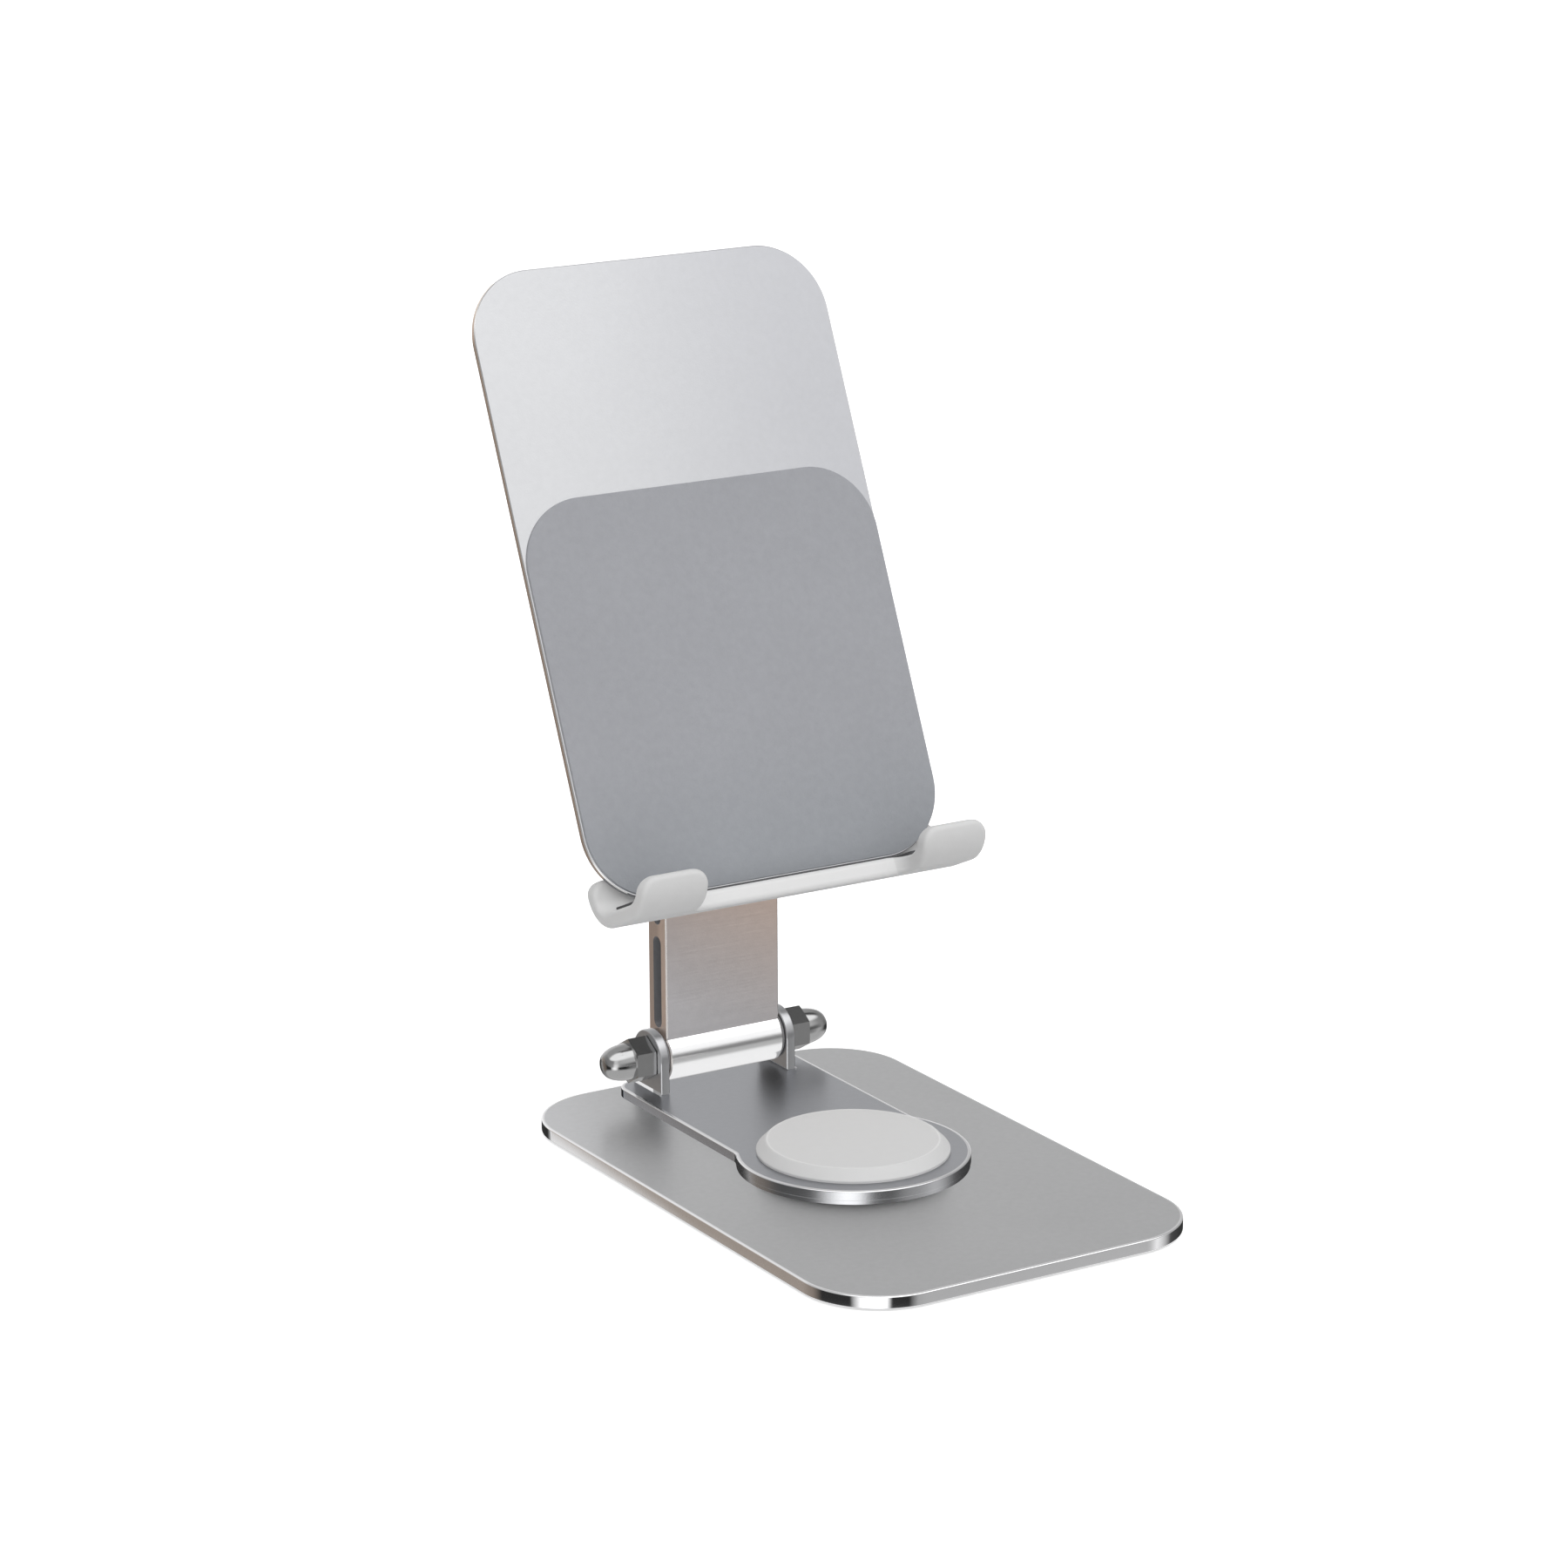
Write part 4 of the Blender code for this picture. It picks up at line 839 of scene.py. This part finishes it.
# %% Cradle, drawn flat
STRIP_THICK = 3.15 * MM
WALL = -1.7 * MM
WALL_TOP = 5.0 * MM
CRADLE_FLOOR = -1.6 * MM
HEEL_INNER = 3.0 * MM
HEEL_OUTER = 7.3 * MM
HOOK_START = 9.7 * MM
HOOK_RADIUS = 5.1 * MM
HOOK_TURN = math.radians(82.0)
MIDDLE_FRONT = 6.6 * MM
heel_middle = (HEEL_INNER + HEEL_OUTER) / 2.0
runs = (
    WALL_TOP - CRADLE_FLOOR + STRIP_THICK / 2.0 - heel_middle,
    heel_middle * math.pi / 2.0,
    HOOK_START - WALL + STRIP_THICK / 2.0 - heel_middle,
    (HOOK_RADIUS + STRIP_THICK / 2.0) * HOOK_TURN,
)
ends = [sum(runs[:index]) for index in range(5)]
middle_edge = ends[2] + MIDDLE_FRONT - WALL + STRIP_THICK / 2.0 - heel_middle
half_outline = ((39.0 * MM, 0.0, 3.0 * MM), (39.0 * MM, ends[2], 1.6 * MM), (38.4 * MM, ends[4], 3.2 * MM),
                (24.0 * MM, ends[4], 3.2 * MM), (24.0 * MM, middle_edge, 3.5 * MM))
outline = [*half_outline, *((-x, length, corner) for x, length, corner in reversed(half_outline))]
cradle = bmesh.new()
corners = [cradle.verts.new((x, length, 0.0)) for x, length, _ in outline]
cradle.faces.new(corners)
for vert, (_, _, corner) in zip(corners, outline):
    bmesh.ops.bevel(cradle, geom=[vert], offset=corner, affect="VERTICES", segments=14, profile=0.5, material=-1)
raise_sheet(cradle, -STRIP_THICK / 2.0, STRIP_THICK / 2.0)
work_rim(cradle, -STRIP_THICK / 2.0, 0.95 * MM, 7)
work_rim(cradle, STRIP_THICK / 2.0, 0.95 * MM, 7)
BEND_CUTS = 26
for run in range(4):
    cuts = BEND_CUTS if run in (1, 3) else 4
    for step in range(cuts):
        crease = (0.0, ends[run] + runs[run] * step / cuts, 0.0)
        bmesh.ops.bisect_plane(cradle, geom=cradle.verts[:] + cradle.edges[:] + cradle.faces[:], plane_co=crease,
                               plane_no=(0.0, 1.0, 0.0))
for cut_x in (-25.0 * MM, -21.0 * MM, 21.0 * MM, 25.0 * MM):
    bmesh.ops.bisect_plane(cradle, geom=cradle.verts[:] + cradle.edges[:] + cradle.faces[:], plane_co=(cut_x, 0.0, 0.0),
                           plane_no=(1.0, 0.0, 0.0))
print("flat strip:", round(ends[4] / MM, 2), "mm long,", len(cradle.faces), "faces")


# %% Bend the cradle
def strip_skin(run, share, thick, heel):
    """(depth, height) on the inner or outer skin, at a share of the wall, heel, floor or hook."""
    back = WALL - thick
    floor_level = CRADLE_FLOOR - thick
    if run == 0:
        return Vector((back, WALL_TOP + (floor_level + heel - WALL_TOP) * share))
    if run == 1:
        angle = share * math.pi / 2.0
        return Vector((back + heel - heel * math.cos(angle), floor_level + heel - heel * math.sin(angle)))
    if run == 2:
        return Vector((back + heel + (HOOK_START - back - heel) * share, floor_level))
    angle = share * HOOK_TURN
    radius = HOOK_RADIUS + thick
    return Vector((HOOK_START + radius * math.sin(angle), floor_level + radius - radius * math.cos(angle)))


RAIL_LIP = 0.55 * MM
LIP_RUN = 3.0 * MM
LIP_FADE = 25.0 * MM


def smooth(value):
    """0 below 0, 1 above 1, with a soft start and end."""
    value = min(max(value, 0.0), 1.0)
    return value * value * (3.0 - 2.0 * value)


for vert in cradle.verts:
    run = max(index for index in range(4) if index == 0 or vert.co.y >= ends[index] - NEAR)
    share = (vert.co.y - ends[run]) / runs[run]
    inner = strip_skin(run, share, 0.0, HEEL_INNER)
    outer_skin = strip_skin(run, share, STRIP_THICK, HEEL_OUTER)
    depth, height = inner.lerp(outer_skin, vert.co.z / STRIP_THICK + 0.5)
    if run == 2:
        lip = smooth((vert.co.y - middle_edge) / LIP_RUN + 1.0) * smooth((LIP_FADE - abs(vert.co.x)) / (4.0 * MM))
        height += RAIL_LIP * lip * (0.5 - vert.co.z / STRIP_THICK)
    vert.co = (vert.co.x, -depth, height)
CRADLE_SCREW_X = 18.0 * MM
CRADLE_SCREW_V = 2.4 * MM
REAR = WALL - STRIP_THICK
for side in (-1, 1):
    drill = bmesh.new()
    bmesh.ops.create_circle(drill, cap_ends=True, segments=48, radius=1.85 * MM)
    raise_sheet(drill, REAR - 2.0 * MM, REAR + 1.1 * MM)
    bmesh.ops.transform(drill, matrix=FACING @ Matrix.Translation((side * CRADLE_SCREW_X, CRADLE_SCREW_V, 0.0)),
                        verts=drill.verts)
    bmesh.ops.recalc_face_normals(drill, faces=drill.faces)
    cradle = carve(cradle, drill, "DIFFERENCE")
IN_CRADLE = ON_REST @ Matrix.Translation((0.0, -9.33 * MM, REST_LOW))
RAIL_HALF = 22.5 * MM
RAIL_DEPTH = 5.0 * MM


def cradle_finish(centre, normal):
    """Finish 1, a lighter painted highlight, on the front of the rail between the hooks."""
    return int(abs(centre.x) < RAIL_HALF and centre.y < -RAIL_DEPTH and normal.y < -0.3)


set_finish(cradle, cradle_finish)
add_piece("phone_cradle", cradle, (white_silicone, painted_highlight_silicone), "rest", "white_silicone", "cradle", place=IN_CRADLE)

# %% [markdown]
# ## Strip and screws of the cradle
# A dark soft strip lines the cradle's floor, wider where the tabs are. Its near-black is partly painted shade, standing
# in for the shade at the bottom of the channel. Behind, two screws with cross slots hold the cradle to the sheet.

# %% Floor strip
LINER_BACK = -1.2 * MM
LINER_MIDDLE = -3.6 * MM
LINER_FRONT = -9.45 * MM
liner_half = ((36.6 * MM, LINER_BACK), (36.6 * MM, LINER_FRONT), (24.9 * MM, LINER_FRONT), (24.9 * MM, LINER_MIDDLE))
liner_points = [*liner_half, *((-x, y) for x, y in reversed(liner_half))]
pen = Pen(*liner_points[0])
for point in liner_points[1:]:
    pen.run(*point)
liner = pen.close(liner_points[0])
bmesh.ops.bevel(liner, geom=liner.verts, offset=0.6 * MM, affect="VERTICES", segments=8, profile=0.5, material=-1)
raise_sheet(liner, CRADLE_FLOOR + 0.02 * MM, -0.9 * MM)
work_rim(liner, -0.9 * MM, 0.15 * MM, 3)
add_piece("cradle_liner", liner, (dark_silicone,), "rest", "dark_silicone", "cradle_strip", place=IN_CRADLE)

# %% Cradle screws
CROSS_ARM = 1.0 * MM
CROSS_HALF = 0.22 * MM
HEAD = ((0.0, 0.0), (1.3, 0.0), (1.55, 0.12), (1.6, 0.3), (1.6, 0.6), (1.0, 0.95), (0.0, 0.95))
for side, word in ((-1, "left"), (1, "right")):
    head = spin_profile([(radius * MM, height * MM) for radius, height in HEAD], 48)
    for width, length in ((CROSS_ARM, CROSS_HALF), (CROSS_HALF, CROSS_ARM)):
        slot = bmesh.new()
        bmesh.ops.create_grid(slot, x_segments=1, y_segments=1, size=1.0)
        bmesh.ops.scale(slot, vec=(width, length, 1.0), verts=slot.verts)
        head = carve(head, raise_sheet(slot, -1.0 * MM, 0.5 * MM), "DIFFERENCE")
    spot = IN_CRADLE @ FACING @ Matrix.Translation((side * CRADLE_SCREW_X, CRADLE_SCREW_V, REAR + 0.15 * MM))
    add_piece("cradle_screw_head_" + word, head, (dark_nickel,), "rest", "dark_nickel", "cradle_screw_" + word,
              place=spot)

# %% [markdown]
# ## Hidden hardware
# Axles, bushes and the pivot stay as they are in the working model. They are almost
# out of sight, but they still get a proper finish for the views that reach them.

# %% Finish the nodes that stay
kept = {
    plain_steel: ("lower_axle", "upper_axle", "pivot_bolt", "pivot_nut"),
    pale_nylon: ("lower_bush", "upper_bush"),
}
for finish, names in kept.items():
    for name in names:
        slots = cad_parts[name].material_slots
        for slot in slots:
            slot.material = finish
print("kept nodes:", [name for names in kept.values() for name in names])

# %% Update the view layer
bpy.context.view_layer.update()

# %% [markdown]
# ## What the polished metal sees
# A photographer keeps large dull things out of small mirrors with white cards. Here the
# base and the rest are left out of mirror reflections instead, so barrel, nuts and rims
# show the studio, while the plates still mirror the hinge that stands on them.

# %% Keep large pieces out of the mirrors
out_of_mirrors = ("base_plate_body", "foot_sheet", "slip_disc", "swivel_plate_body", "arm_extrusion", "rest_sheet", "rest_grip", "phone_cradle", "cradle_liner")
for piece in [bpy.data.objects[name] for name in out_of_mirrors] + [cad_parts[n] for n in ("lower_axle", "lower_bush")]:
    piece.visible_glossy = False
